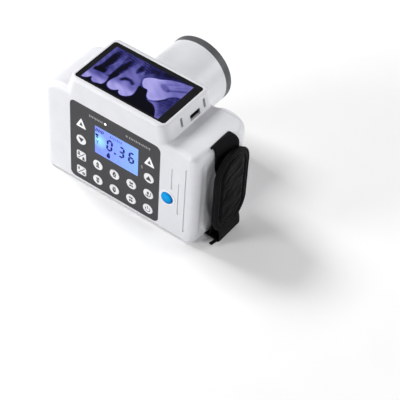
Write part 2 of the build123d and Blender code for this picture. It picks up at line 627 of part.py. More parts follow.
# ---------------------------------------------------------------- fasteners
def screw_y(x, z, head_y, tip_y, r=SCREW_R, head_r=2.9, head_t=1.2):
    """Pan-head screw driven along -Y, with a cross recess."""
    screw = disc_y(x, z, r, tip_y, head_y + 0.1) + disc_y(x, z, head_r, head_y, head_y + head_t)
    slot = head_r * 0.55
    top = head_y + head_t
    screw -= box(x - slot, x + slot, top - 0.6, top + 1, z - 0.35, z + 0.35)
    screw -= box(x - 0.35, x + 0.35, top - 0.6, top + 1, z - slot, z + slot)
    return screw


def fastener_parts():
    seat = COVER_Y + 0.8
    keep("housing_screws", Compound(children=[screw_y(x, z, seat, 12.0) for x, z in BOSSES]))
    screws = [screw_y(x, z, seat, BOSS_END_Y - 2.8) for x, z in TANK_BOSSES]
    keep("generator_screws", Compound(children=screws))
    screws = [screw_y(x, z, MAIN_BOARD_Y + BOARD_T, -30.0, r=0.95, head_r=2.2) for x, z in BOARD_POSTS]
    screws += [screw_y(x, z, KEY_BOARD_Y + BOARD_T, -34.0, r=0.75, head_r=1.6) for x, z in KEY_BOARD_POSTS]
    keep("board_screws", Compound(children=screws))
    insert = slab_z(Pos(MID_X, 0) * Circle(4.5), 0.2, 8.1)
    insert -= slab_z(Pos(MID_X, 0) * Circle(INSERT_R), -1, 0.2 + INSERT_DEEP)
    keep("tripod_insert", insert)


def main():
    os.makedirs("parts", exist_ok=True)
    keep("front_housing", front_housing())
    keep("back_cover", back_cover())
    display_parts()
    keep("usb_port", usb_port())
    keypad_parts()
    button_parts()
    generator_parts()
    cone_parts()
    inner_parts()
    strap_parts()
    fastener_parts()
    for name, shape in PARTS.items():
        export_step(shape, f"parts/{name}.step")


if __name__ == "__main__":
    main()
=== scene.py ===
import json
import math

import bmesh
import bpy
import numpy as np
from mathutils import Matrix, Vector
from mathutils.geometry import delaunay_2d_cdt, tessellate_polygon


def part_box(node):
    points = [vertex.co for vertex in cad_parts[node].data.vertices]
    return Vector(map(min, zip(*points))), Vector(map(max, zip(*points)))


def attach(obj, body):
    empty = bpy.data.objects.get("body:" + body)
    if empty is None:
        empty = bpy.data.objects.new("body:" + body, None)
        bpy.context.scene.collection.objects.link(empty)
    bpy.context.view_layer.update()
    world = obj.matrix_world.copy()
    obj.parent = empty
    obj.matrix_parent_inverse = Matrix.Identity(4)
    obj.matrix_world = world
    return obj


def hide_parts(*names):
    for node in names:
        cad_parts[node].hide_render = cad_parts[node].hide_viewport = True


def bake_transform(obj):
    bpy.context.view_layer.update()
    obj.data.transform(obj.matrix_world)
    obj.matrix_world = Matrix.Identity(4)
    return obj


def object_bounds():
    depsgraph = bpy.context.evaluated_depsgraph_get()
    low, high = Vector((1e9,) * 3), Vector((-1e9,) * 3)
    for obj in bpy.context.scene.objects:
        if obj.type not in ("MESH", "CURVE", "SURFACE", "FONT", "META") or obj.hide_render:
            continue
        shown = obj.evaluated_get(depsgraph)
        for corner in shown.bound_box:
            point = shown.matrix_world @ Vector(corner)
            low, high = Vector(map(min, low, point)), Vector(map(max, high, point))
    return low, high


# Hand-held intraoral X-ray unit: materials, printed marks, the two screens and the soft hand strap.
# Row frame, metres: +X operator's right (strap), +Y along the beam, +Z up. MM turns millimetres into metres.

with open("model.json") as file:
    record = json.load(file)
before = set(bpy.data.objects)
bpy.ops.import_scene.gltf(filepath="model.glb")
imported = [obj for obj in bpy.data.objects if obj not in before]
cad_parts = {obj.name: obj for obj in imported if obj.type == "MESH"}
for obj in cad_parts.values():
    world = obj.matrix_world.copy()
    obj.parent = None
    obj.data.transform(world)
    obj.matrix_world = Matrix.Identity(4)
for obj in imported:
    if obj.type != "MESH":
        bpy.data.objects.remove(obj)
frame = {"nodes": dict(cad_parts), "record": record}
CAD_LOW, CAD_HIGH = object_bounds()
NODES = frame["nodes"]
MM = 0.001


# ---------------------------------------------------------------- camera, lights, floor
AZIMUTH, ELEVATION, ROLL = (math.radians(angle) for angle in (33.556, 46.296, 4.015))
DISTANCE = 1.3551
AIM = Vector((0.0779, -0.0189, 0.0430))
LENS = 136.24

LIT_POINT = (0.0, 0.0, 0.05)
LIGHTS = (             # name, place, size, watts
    ("key", (-0.9, 0.0, 1.05), (0.4, 0.4), 13.4),
    ("front_left", (-0.8, -1.1, 0.5), (0.5, 0.6), 11.9),
    ("rear_right", (0.75, 1.0, 0.5), (0.5, 0.5), 6.7),
    ("front_right", (1.15, -0.2, 0.45), (0.4, 0.4), 3.7),
)
WORLD_GLOW = 0.2
FLOOR_REACH, FLOOR_DROP = 6.0, 0.0004


def add_camera():
    away = Vector((
        math.sin(AZIMUTH) * math.cos(ELEVATION),
        -math.cos(AZIMUTH) * math.cos(ELEVATION),
        math.sin(ELEVATION),
    ))
    level = Vector((math.cos(AZIMUTH), math.sin(AZIMUTH), 0))
    up = away.cross(level)
    right = level * math.cos(ROLL) + up * math.sin(ROLL)
    data = bpy.data.cameras.new("camera")
    data.lens = LENS
    data.clip_start, data.clip_end = 0.05, 20
    camera = bpy.data.objects.new("camera", data)
    bpy.context.scene.collection.objects.link(camera)
    axes = Matrix((right, away.cross(right), away)).transposed()
    camera.matrix_world = Matrix.Translation(AIM + away * DISTANCE) @ axes.to_4x4()
    bpy.context.scene.camera = camera


def add_area(name, place, target, size, power):
    """Rectangular soft light that faces a point."""
    data = bpy.data.lights.new(name, "AREA")
    data.shape = "RECTANGLE"
    data.size, data.size_y = size
    data.energy = power
    light = bpy.data.objects.new(name, data)
    bpy.context.scene.collection.objects.link(light)
    light.location = place
    light.rotation_euler = (Vector(target) - Vector(place)).to_track_quat("-Z", "Y").to_euler()


def add_studio():
    scene = bpy.context.scene
    scene.view_settings.view_transform = "Standard"
    world = bpy.data.worlds.new("studio")
    world.use_nodes = True
    sky = world.node_tree.nodes["Background"]
    sky.inputs["Color"].default_value = (1, 1, 1, 1)
    sky.inputs["Strength"].default_value = WORLD_GLOW
    scene.world = world
    for name, place, size, power in LIGHTS:
        add_area(name, place, LIT_POINT, size, power)
    floor_mesh = bpy.data.meshes.new("floor")
    level = CAD_LOW.z - FLOOR_DROP
    corners = [(sx * FLOOR_REACH, sy * FLOOR_REACH, level) for sx, sy in ((-1, -1), (1, -1), (1, 1), (-1, 1))]
    floor_mesh.from_pydata(corners, [], [(0, 1, 2, 3)])
    floor = bpy.data.objects.new("floor", floor_mesh)
    scene.collection.objects.link(floor)
    floor_mesh.materials.append(plain_floor())


# ---------------------------------------------------------------- materials
def rgb(code):
    """Linear colour of an sRGB code such as 'E6E7EA'."""
    values = [int(code[i:i + 2], 16) / 255 for i in (0, 2, 4)]
    return tuple(v / 12.92 if v <= 0.04045 else ((v + 0.055) / 1.055) ** 2.4 for v in values) + (1.0,)


def start(name, **sockets):
    """New node material; returns it with its tree and its shader, whose named sockets are set."""
    material = bpy.data.materials.new(name)
    material.use_nodes = True
    tree = material.node_tree
    shader = tree.nodes["Principled BSDF"]
    set_sockets(tree, shader, sockets)
    return material, tree, shader


def set_sockets(tree, node, sockets):
    """Sets each named socket to a value, or links it to another node's output."""
    for key, value in sockets.items():
        socket = node.inputs[key.replace("_", " ")]
        if isinstance(value, bpy.types.NodeSocket):
            tree.links.new(value, socket)
        else:
            socket.default_value = value


def make(tree, kind, **sockets):
    """New shader node, with its named sockets set or linked."""
    node = tree.nodes.new("ShaderNode" + kind)
    set_sockets(tree, node, sockets)
    return node


def place_of(tree):
    return make(tree, "TexCoord").outputs["Object"]


def noise(tree, feature, detail, stretch=(1, 1, 1)):
    """Noise whose features are about this many millimetres across, stretched along the axes."""
    where = make(tree, "Mapping", Scale=stretch, Vector=place_of(tree)).outputs["Vector"]
    return make(tree, "TexNoise", Scale=1.0 / (feature * MM), Detail=detail, Vector=where).outputs["Fac"]


def ramp(tree, fac, *stops):
    """Colour ramp through (position, colour) stops; a colour is an sRGB code or linear values."""
    node = make(tree, "ValToRGB", Fac=fac)
    elements = node.color_ramp.elements
    while len(elements) < len(stops):
        elements.new(0.5)
    for element, (position, colour) in zip(elements, stops):
        element.position = position
        element.color = rgb(colour) if isinstance(colour, str) else colour
    return node.outputs["Color"]


def spread(tree, fac, low, high, start_at=0.3, end_at=0.7):
    """Maps a noise value onto a range."""
    ends = {"From_Min": start_at, "From_Max": end_at, "To_Min": low, "To_Max": high}
    return make(tree, "MapRange", Value=fac, **ends).outputs["Result"]


def paint(tree, shader, fac, *stops):
    tree.links.new(ramp(tree, fac, *stops), shader.inputs["Base Color"])


def gloss(tree, shader, fac, low, high):
    tree.links.new(spread(tree, fac, low, high), shader.inputs["Roughness"])


def distance_from(tree, point):
    """Distance of the shaded place from a point, in metres."""
    node = make(tree, "VectorMath")
    node.operation = "DISTANCE"
    node.inputs[1].default_value = point
    tree.links.new(place_of(tree), node.inputs[0])
    return node.outputs["Value"]


def plus(tree, one, other):
    node = make(tree, "Math")
    node.operation = "ADD"
    tree.links.new(one, node.inputs[0])
    tree.links.new(other, node.inputs[1])
    return node.outputs["Value"]


def bump(tree, shader, height, depth, strength, under=None):
    """Bump of this many millimetres, on top of another one if it is given."""
    node = make(tree, "Bump", Distance=depth * MM, Strength=strength, Height=height)
    if under is not None:
        tree.links.new(under, node.inputs["Normal"])
    tree.links.new(node.outputs["Normal"], shader.inputs["Normal"])
    return node.outputs["Normal"]


def moulded(name, light, dark, rough, grain=0.35, depth=0.012, blotch=18.0, **sockets):
    """Moulded plastic, rubber or cast metal: slow colour variation, a fine grain and uneven gloss."""
    material, tree, shader = start(name, **sockets)
    paint(tree, shader, noise(tree, blotch, 3.0), (0.35, dark), (0.65, light))
    gloss(tree, shader, noise(tree, blotch / 3, 4.0), *rough)
    bump(tree, shader, noise(tree, grain, 2.0), depth, 0.6)
    return material


def ink(name, light, dark, depth=0.004, **sockets):
    """Flat printing ink."""
    return moulded(name, light, dark, (0.4, 0.5), grain=0.2, depth=depth, **sockets)


def blue_with_painted_shade():
    """Blue button with painted light: a painted highlight a little up and to the left of the middle of its
    face, and painted shade darkening it towards its edge.
    """
    material, tree, shader = start("button_blue", Specular_IOR_Level=0.04)
    low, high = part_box("exposure_button")
    middle = (low + high) / 2
    # Painted highlight: the face is palest here and painted darker with distance from it, like a lit dome.
    painted_highlight_spot = (middle.x - 1.2 * MM, low.y, middle.z + 1.4 * MM)
    near = spread(tree, distance_from(tree, painted_highlight_spot), 0.0, 1.0, 1.5 * MM, 7.6 * MM)
    fac = plus(tree, near, spread(tree, noise(tree, 3.0, 2.0), -0.06, 0.06))
    paint(tree, shader, fac, (0.0, "10A0E4"), (0.5, "0090D6"), (0.8, "0078BE"), (1.0, "0062A4"))
    gloss(tree, shader, noise(tree, 6.0, 2.0), 0.3, 0.4)
    return material


def metal(name, light, dark, rough, brushed=(1, 1, 1)):
    """Metal with fine machining marks."""
    material, tree, shader = start(name, Metallic=1.0)
    marks = noise(tree, 0.25, 3.0, brushed)
    paint(tree, shader, marks, (0.3, dark), (0.7, light))
    gloss(tree, shader, marks, *rough)
    bump(tree, shader, marks, 0.01, 0.5)
    return material


def plain_floor():
    material, tree, shader = start("floor_pale", Roughness=0.9, Specular_IOR_Level=0.1)
    paint(tree, shader, noise(tree, 60.0, 2.0), (0.3, "FAFAFA"), (0.7, "FCFCFC"))
    return material


def panel_sheet():
    """Dark grey polyester overlay with a fine velvet texture and faint flecks."""
    material, tree, shader = start("panel_sheet", Specular_IOR_Level=0.06)
    paint(tree, shader, noise(tree, 0.45, 3.0), (0.3, "414144"), (0.5, "474749"), (0.72, "515154"))
    gloss(tree, shader, noise(tree, 7.0, 3.0), 0.42, 0.55)
    bump(tree, shader, noise(tree, 0.22, 1.0), 0.012, 0.7)
    return material


def glass_black():
    """Cover glass, printed black from behind."""
    material, tree, shader = start(
        "display_glass_black", Coat_Weight=0.3, Coat_Roughness=0.04, Specular_IOR_Level=0.15
    )
    smear = noise(tree, 14.0, 3.0)
    paint(tree, shader, smear, (0.3, "141416"), (0.7, "1A1A1C"))
    gloss(tree, shader, smear, 0.10, 0.16)
    return material


def lit(name, code, glow):
    """Light pipe or print that glows a little."""
    material, tree, shader = start(name, Emission_Strength=glow, Emission_Color=rgb(code))
    dimmer = tuple(0.92 * value for value in rgb(code)[:3]) + (1,)
    paint(tree, shader, noise(tree, 0.6, 2.0), (0.3, code), (0.7, dimmer))
    gloss(tree, shader, noise(tree, 0.4, 1.0), 0.3, 0.4)
    return material


def lcd_glow():
    """Back-lit LCD: periwinkle field, paler at the right, with a cyan glow near its left edge."""
    material, tree, shader = start("lcd_glow", Emission_Strength=0.97, Coat_Weight=0.3, Coat_Roughness=0.08)
    shader.inputs["Base Color"].default_value = rgb("2A3468")
    low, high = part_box("lcd_window")
    split = make(tree, "SeparateXYZ", Vector=place_of(tree))
    across = spread(tree, split.outputs["X"], 0.0, 1.0, low.x, high.x)
    field = ramp(tree, across, (0.0, "6C86F0"), (0.2, "7490F6"), (0.6, "789FFA"), (1.0, "7EB2FB"))
    lamp = (low.x + 4.8 * MM, low.y, low.z + 17.7 * MM)
    near = spread(tree, distance_from(tree, lamp), 1.0, 0.0, 0.5 * MM, 10.5 * MM)
    mix = make(tree, "Mix")
    mix.data_type = "RGBA"
    tree.links.new(near, mix.inputs["Factor"])
    tree.links.new(field, mix.inputs["A"])
    mix.inputs["B"].default_value = rgb("9CF2FF")
    tree.links.new(mix.outputs["Result"], shader.inputs["Emission Color"])
    gloss(tree, shader, noise(tree, 5.0, 2.0), 0.25, 0.32)
    return material


def radiograph():
    """Violet radiograph: the mesh holds the tone of each point, and fine film grain is added here."""
    material, tree, shader = start(
        "radiograph", Emission_Strength=1.0, Coat_Weight=0.05, Coat_Roughness=0.05, Specular_IOR_Level=0.05
    )
    shader.inputs["Base Color"].default_value = rgb("0A0A12")
    tone = make(tree, "Attribute")
    tone.attribute_name = "tone"
    grainy = plus(tree, tone.outputs["Fac"], spread(tree, noise(tree, 0.5, 2.0), -0.02, 0.02))
    dark = ((0.0, "020206"), (0.14, "08081E"), (0.26, "201E58"), (0.42, "4A488E"))
    pale = ((0.66, "7470BA"), (0.85, "9590D6"), (1.0, "ADA8E8"))
    colour = ramp(tree, grainy, *dark, *pale)
    tree.links.new(colour, shader.inputs["Emission Color"])
    gloss(tree, shader, noise(tree, 14.0, 3.0), 0.12, 0.18)
    return material


def woven(name, light, dark, pitch=1.1):
    """Nylon webbing: ribs along the strap crossed by the weft; its colour follows the rib height, with
    painted shade in the grooves and a painted sheen on the crowns.
    """
    material, tree, shader = start(name, Specular_IOR_Level=0.08)
    heights = []
    for axis, scale in (("X", pitch * 0.8), ("Y", pitch), ("Z", pitch * 0.8)):
        wave = make(tree, "TexWave", Distortion=0.6, Detail_Scale=1.0, Vector=place_of(tree))
        wave.inputs["Scale"].default_value = 0.31416 / (scale * MM)
        wave.bands_direction = axis
        heights.append(wave.outputs["Fac"])
    total = heights[0]
    for height in heights[1:]:
        add = make(tree, "Math")
        add.operation = "MULTIPLY_ADD"
        add.inputs[1].default_value = 0.5
        tree.links.new(total, add.inputs[0])
        tree.links.new(height, add.inputs[2])
        total = add.outputs["Value"]
    # Painted shade and sheen: darker where the weave lies low, lighter on the crowns of the ribs.
    paint(tree, shader, total, (0.2, dark), (1.0, light))
    gloss(tree, shader, noise(tree, 3.0, 3.0), 0.6, 0.8)
    bump(tree, shader, total, 0.12, 0.8)
    return material


def leather(name, light, dark, pore=0.55, rough=(0.42, 0.6)):
    """Soft black synthetic leather: pebbled pores, slow wear and uneven gloss."""
    material, tree, shader = start(name, Specular_IOR_Level=0.03)
    cells = make(tree, "TexVoronoi", Scale=1.0 / (pore * MM), Vector=place_of(tree))
    cells.feature = "SMOOTH_F1"
    worn = noise(tree, 16.0, 4.0)
    paint(tree, shader, worn, (0.3, dark), (0.7, light))
    gloss(tree, shader, worn, *rough)
    soft = bump(tree, shader, noise(tree, 5.0, 3.0), 0.15, 0.5)
    bump(tree, shader, cells.outputs["Distance"], 0.07, 0.8, under=soft)
    return material


def tinted_glass(name, code):
    """Bulb glass of the sealed tube."""
    material, tree, shader = start(name, Transmission_Weight=0.8, IOR=1.47)
    paint(tree, shader, noise(tree, 9.0, 2.0), (0.3, code), (0.7, "F2F5F6"))
    gloss(tree, shader, noise(tree, 5.0, 2.0), 0.04, 0.1)
    return material


def circuit():
    """Green solder mask with a faint copper pattern under it."""
    material, tree, shader = start("circuit_board", Coat_Weight=0.3, Coat_Roughness=0.2)
    greens = {"Color1": rgb("14563A"), "Color2": rgb("17603F"), "Mortar": rgb("2A7A50")}
    bricks = make(tree, "TexBrick", Scale=120.0, Mortar_Size=0.03, Vector=place_of(tree), **greens)
    tree.links.new(bricks.outputs["Color"], shader.inputs["Base Color"])
    gloss(tree, shader, noise(tree, 4.0, 2.0), 0.35, 0.5)
    bump(tree, shader, bricks.outputs["Fac"], 0.03, 0.6)
    return material


SHINY_PLASTIC = {"Coat_Weight": 0.35, "Coat_Roughness": 0.12}


def build_materials():
    """One material for each material slot of the record."""
    return {
        "housing_white": moulded("housing_plastic", "DCDDE1", "D8D9DD", (0.36, 0.46), Specular_IOR_Level=0.4),
        "cone_white": moulded("cone_plastic", "DBDCE0", "D7D8DC", (0.32, 0.40), grain=0.5, depth=0.006),
        "display_glass": glass_black(),
        "display_panel": moulded("panel_frame", "1A1A1C", "141416", (0.4, 0.5)),
        "circuit_board": circuit(),
        "plated_steel": metal("plated_steel", "8A8C90", "6C6E72", (0.25, 0.4)),
        "panel_grey": panel_sheet(),
        "clear_window": lcd_glow(),
        "lcd_module": moulded("lcd_frame", "D8DADC", "C8CACC", (0.4, 0.5)),
        "lamp_lens": lit("lamp_lens", "8A8A8C", 0.0),
        "key_white": moulded("key_silicone", "EAEAEC", "E3E3E6", (0.45, 0.58), grain=0.3, depth=0.008),
        "collar_white": moulded("collar_plastic", "EFEFF1", "E6E6EA", (0.25, 0.35), **SHINY_PLASTIC),
        "button_blue": blue_with_painted_shade(),
        "spring_steel": metal("spring_steel", "B8B9BB", "8F9093", (0.25, 0.4)),
        "black_plastic": moulded("black_plastic", "1E1E20", "151517", (0.4, 0.55)),
        "tank_aluminium": metal("tank_aluminium", "C2C4C6", "A5A7AA", (0.35, 0.5), (1, 1, 8)),
        "tube_glass": tinted_glass("tube_glass", "E4ECEA"),
        "tube_copper": metal("tube_copper", "C8805A", "A8623F", (0.2, 0.35)),
        "lead": moulded("lead_sheet", "6E7074", "58595D", (0.5, 0.65), grain=1.2, depth=0.03, Metallic=0.8),
        "ring_grey": moulded(
            "ring_rubber", "58595C", "4F5053", (0.4, 0.52), grain=0.4, depth=0.015, Specular_IOR_Level=0.25
        ),
        "cell_wrap": moulded("cell_wrap", "2F6FB3", "2A639F", (0.25, 0.35), **SHINY_PLASTIC),
        "webbing_black": woven("webbing_nylon", "161618", "08080A"),
        "pad_black": leather("pad_leather", "0F0F10", "080809"),
        "screw_steel": metal("screw_steel", "A6A7AA", "7E7F83", (0.25, 0.4), (1, 6, 1)),
        "insert_brass": metal("insert_brass", "C9A25A", "A98343", (0.25, 0.4)),
    }


def finish_nodes(materials):
    """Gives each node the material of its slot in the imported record."""
    slots = {part["node"]: part["material_slot"] for part in frame["record"]["subparts"]}
    for name, node in NODES.items():
        slot = slots[name]
        node.data.materials.clear()
        node.data.materials.append(materials[slot])
    NODES["ready_lamp"].data.materials[0] = lit("ready_lamp_on", "FFFFFF", 1.2)


# ---------------------------------------------------------------- mesh helpers
def new_piece(name, bm, material, body, smooth=None):
    """Makes an object of a bmesh, riding on a body unless it is None; smooth is an edge angle in degrees."""
    bmesh.ops.recalc_face_normals(bm, faces=bm.faces)
    mesh = bpy.data.meshes.new(name)
    bm.to_mesh(mesh)
    bm.free()
    mesh.materials.append(material)
    if smooth is not None:
        mesh.shade_smooth()
        mesh.set_sharp_from_angle(angle=math.radians(smooth))
    piece = bpy.data.objects.new(name, mesh)
    bpy.context.scene.collection.objects.link(piece)
    if body:
        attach(piece, body)
    return piece


def add_slab(bm, loops, low, high, place):
    """Closed slab between two depths: the first loop is the outline and the others are holes."""
    flat = [point for loop in loops for point in loop]
    faces = tessellate_polygon([[Vector((u, v, 0)) for u, v in loop] for loop in loops])
    bottom = [bm.verts.new(place(u, v, low)) for u, v in flat]
    top = [bm.verts.new(place(u, v, high)) for u, v in flat]
    for a, b, c in faces:
        bm.faces.new((bottom[a], bottom[b], bottom[c]))
        bm.faces.new((top[c], top[b], top[a]))
    first = 0
    for loop in loops:
        count = len(loop)
        for i in range(count):
            a, b = first + i, first + (i + 1) % count
            bm.faces.new((bottom[a], bottom[b], top[b], top[a]))
        first += count


def skin(bm, rings, closed):
    """Faces between rings of points, which end in caps or join up."""
    size = len(rings[0])
    for one, two in zip(rings, rings[1:] + (rings[:1] if closed else [])):
        for k in range(size):
            bm.faces.new((one[k], one[(k + 1) % size], two[(k + 1) % size], two[k]))
    if not closed:
        bm.faces.new(rings[0])
        bm.faces.new(rings[-1][::-1])


def middle_of(name):
    """Middle of a node, in millimetres."""
    low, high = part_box(name)
    return (low + high) / (2 * MM)


def print_marks(name, groups, face_y, material, body, thick=0.05):
    """Printed marks on a surface that faces the operator: groups of loops of (x, z) in millimetres."""
    bm = bmesh.new()
    for loops in groups:
        add_slab(bm, loops, 0.0, thick, lambda x, z, out: Vector((x * MM, face_y - out * MM, z * MM)))
    return new_piece(name, bm, material, body)


def turn_points(points, cx, cz, degrees):
    c, s = math.cos(math.radians(degrees)), math.sin(math.radians(degrees))
    return [(cx + (x - cx) * c - (z - cz) * s, cz + (x - cx) * s + (z - cz) * c) for x, z in points]


def ellipse(cx, cz, rx, rz, count=24):
    return [
        (cx + rx * math.cos(2 * math.pi * i / count), cz + rz * math.sin(2 * math.pi * i / count))
        for i in range(count)
    ]


def rounded_box(cx, cz, w, h, r, steps=4):
    points = []
    for corner, (sx, sz) in enumerate(((1, 1), (-1, 1), (-1, -1), (1, -1))):
        for i in range(steps + 1):
            angle = math.pi / 2 * (corner + i / steps)
            x = cx + sx * (w / 2 - r) + r * math.cos(angle)
            points.append((x, cz + sz * (h / 2 - r) + r * math.sin(angle)))
    return points


def bar(x0, z0, x1, z1, width):
    """Straight stroke from one point to another."""
    length = math.hypot(x1 - x0, z1 - z0)
    nx, nz = -(z1 - z0) / length * width / 2, (x1 - x0) / length * width / 2
    return [(x0 + nx, z0 + nz), (x0 - nx, z0 - nz), (x1 - nx, z1 - nz), (x1 + nx, z1 + nz)]


def arc_stroke(cx, cz, r, start_angle, end_angle, width, steps=16):
    """Round stroke between two angles in degrees."""
    angles = [math.radians(start_angle + (end_angle - start_angle) * i / steps) for i in range(steps + 1)]
    outer = [(cx + (r + width / 2) * math.cos(a), cz + (r + width / 2) * math.sin(a)) for a in angles]
    inner = [(cx + (r - width / 2) * math.cos(a), cz + (r - width / 2) * math.sin(a)) for a in angles]
    return outer + inner[::-1]


def mirrored(half, cx, cz, flip):
    """Whole outline from its right half, given as (x, z) offsets from the top down."""
    right = [(cx + x, cz + flip * z) for x, z in half]
    left = [(cx - x, cz + flip * z) for x, z in reversed(half) if x > 0]
    return right + left


# ---------------------------------------------------------------- marks on the keys
TOOTH_WIDENING = {"incisor": 1.5, "premolar": 1.35, "molar": 1.2}      # bolder marks read better


def tooth_marks(kind, cx, cz, flip):
    """Tooth with its root upwards, or downwards where flip is -1, and the opposing crown."""
    if kind == "incisor":
        root = [(0.0, 3.9), (0.75, 2.6), (1.15, 1.3), (0.95, 0.5), (0.0, 0.35)]
        slit = ellipse(cx + 0.15, cz + flip * 1.9, 0.18, 0.75, 12)
        return [
            [mirrored(root, cx, cz, flip), slit],
            [ellipse(cx, cz - flip * 0.75, 1.15, 0.7)],
            [mirrored([(0.0, -1.7), (1.25, -1.9), (1.3, -2.9), (0.0, -3.1)], cx, cz, flip)],
        ]
    if kind == "premolar":
        tooth = [(0.0, 3.9), (0.9, 2.5), (1.35, 0.8), (1.5, -0.5), (1.15, -1.5), (0.0, -1.3)]
        slit = turn_points(ellipse(cx + 0.35, cz + flip * 0.2, 0.3, 1.1, 14), cx, cz, -12 * flip)
        crown = [(0.0, -1.9), (1.1, -1.8), (1.3, -2.7), (0.7, -3.3), (0.0, -3.1)]
        return [[mirrored(tooth, cx, cz, flip), slit], [mirrored(crown, cx, cz, flip)]]
    tooth = [(0.0, 1.5), (0.55, 3.0), (1.35, 3.1), (1.75, 1.6), (1.3, 0.5), (0.0, 0.35)]
    crown = [(0.0, -1.2), (1.0, -0.6), (1.6, -1.2), (1.9, -2.4), (1.2, -3.0), (0.0, -2.3)]
    return [[mirrored(tooth, cx, cz, flip)], [mirrored(crown, cx, cz, flip)]]


def key_marks(name, cx, cz):
    """Dark marks of one key, round its centre."""
    slash = [bar(cx - 3.6, cz - 4.0, cx + 3.8, cz + 4.0, 0.75)]
    if name in ("key_down", "key_up"):
        flip = 1 if name == "key_up" else -1
        return [[mirrored([(0.0, 2.9), (3.1, -2.3), (2.6, -2.6)], cx, cz, flip)]]
    if name == "key_patient":
        return [
            slash,
            [ellipse(cx - 2.6, cz + 3.2, 1.1, 1.0)],
            [mirrored([(0.0, 0.9), (1.6, 0.4), (1.1, -0.9), (0.0, -1.4)], cx - 2.9, cz + 1.0, 1)],
            [ellipse(cx + 2.7, cz - 1.2, 0.95, 0.8)],
            [rounded_box(cx + 2.7, cz - 3.2, 3.3, 2.3, 0.9)],
        ]
    if name == "key_receptor":
        return [
            slash,
            [rounded_box(cx - 2.9, cz + 2.2, 1.5, 3.6, 0.4)],
            [rounded_box(cx + 2.7, cz - 2.3, 2.9, 3.0, 0.8), rounded_box(cx + 2.9, cz - 2.0, 1.0, 1.1, 0.3)],
        ]
    if name == "key_bitewing":
        return [
            [rounded_box(cx - 0.3, cz + 1.3, 2.3, 2.9, 0.8)],
            [arc_stroke(cx - 0.2, cz - 0.6, 2.6, -160, 15, 0.8)],
            [bar(cx + 2.5, cz + 0.4, cx + 2.9, cz + 3.0, 0.7)],
            [ellipse(cx - 0.6, cz - 1.6, 0.9, 0.8)],
        ]
    if name == "key_power":
        return [
            [arc_stroke(cx, cz - 0.4, 2.7, 125, 415, 0.7, 24)],
            [bar(cx, cz + 0.2, cx, cz + 3.6, 0.75)],
        ]
    row, kind = name.removeprefix("key_").split("_")
    wider = TOOTH_WIDENING[kind]
    groups = tooth_marks(kind, cx, cz, 1 if row == "upper" else -1)
    return [[[(cx + (x - cx) * wider, z) for x, z in loop] for loop in group] for group in groups]


def mark_keys(dark):
    for name in sorted(NODES):
        if name.startswith("key_") and name != "key_domes":
            middle = middle_of(name)
            marks = key_marks(name, middle.x, middle.z)
            print_marks(name + "_mark", marks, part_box(name)[0].y, dark, name)


# ---------------------------------------------------------------- print on the overlay
def row_of_bars(x0, x1, z, height, count, slant=0.35):
    """Stands for a printed word: a row of short upright strokes of uneven length."""
    step = (x1 - x0) / count
    groups = []
    for i in range(count):
        x = x0 + (i + 0.5) * step
        tall = height * (1.0, 0.72, 0.9, 0.62)[i % 4]
        groups.append([bar(x - slant * 0.3, z - tall / 2, x + slant * 0.3, z + tall / 2, step * 0.5)])
    return groups


def plain_sign(cx, cz, half, height):
    """Upright white triangle with cut corners and a plain dark triangle inside."""
    cut = 0.7
    outline = [(0.45, height / 2), (half, -height / 2 + cut), (half - cut, -height / 2)]
    hole = [(0.0, height * 0.16), (half * 0.36, -height * 0.29)]
    return [mirrored(outline, cx, cz, 1), mirrored(hole, cx, cz, 1)]


SIGN_HALF, SIGN_H, SIGN_RISE = 5.6, 10.8, 20.9      # sizes, and height over the key under it
CAPTION_H = 2.6


def print_overlay():
    face_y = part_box("keypad_overlay")[0].y
    ready_x, exposing_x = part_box("ready_lamp")[0].x / MM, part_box("exposure_lamp")[1].x / MM
    lamp_z = middle_of("ready_lamp").z
    white = ink("print_white", "F4F4F5", "ECECEE")
    faint = ink("print_grey", "A9A9AC", "98989B")
    sign_z = middle_of("key_down").z + SIGN_RISE
    signs = [plain_sign(middle_of(key).x, sign_z, SIGN_HALF, SIGN_H) for key in ("key_down", "key_up")]
    print_marks("panel_signs", signs, face_y, white, "housing")
    words = row_of_bars(ready_x - 17.4, ready_x - 1.4, lamp_z, CAPTION_H, 9)
    words += row_of_bars(exposing_x + 1.2, exposing_x + 25.4, lamp_z, CAPTION_H, 13)
    print_marks("panel_captions", words, face_y, faint, "housing", thick=0.03)
    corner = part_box("lcd_window")[1] / MM
    x, z = corner.x + 4.4, corner.z - 18.6
    upper = arc_stroke(x, z + 0.75, 0.8, 20, 270, 0.5, 10)
    lower = arc_stroke(x, z - 0.85, 0.8, -160, 90, 0.5, 10)
    print_marks("panel_unit", [[upper], [lower]], face_y, faint, "housing", thick=0.03)


# ---------------------------------------------------------------- LCD
SEGMENTS = {"0": "abcdef", "3": "abcdg", "6": "acdefg"}


def digit(character, left, base, w=7.0, h=14.1, stroke=2.15, slant=0.09):
    """Seven-segment digit, leaning a little to the right."""
    gap, half = 0.22, stroke / 2
    x0, x1 = left + half, left + w - half
    z0, z1, z2 = base + half, base + h / 2, base + h - half
    lines = {
        "a": (x0, z2, x1, z2), "b": (x1, z1, x1, z2), "c": (x1, z0, x1, z1), "d": (x0, z0, x1, z0),
        "e": (x0, z0, x0, z1), "f": (x0, z1, x0, z2), "g": (x0, z1, x1, z1),
    }
    groups = []
    for letter in SEGMENTS[character]:
        ax, az, bx, bz = lines[letter]
        length = math.hypot(bx - ax, bz - az)
        ux, uz = (bx - ax) / length, (bz - az) / length
        ax, az, bx, bz = ax + ux * gap, az + uz * gap, bx - ux * gap, bz - uz * gap
        ahead, beside = (ux - uz) * half, (ux + uz) * half
        tips = [
            (ax, az), (ax + ahead, az + beside), (bx - beside, bz + ahead),
            (bx, bz), (bx - ahead, bz - beside), (ax + beside, az - ahead),
        ]
        groups.append([[(x + slant * (z - base), z) for x, z in tips]])
    return groups


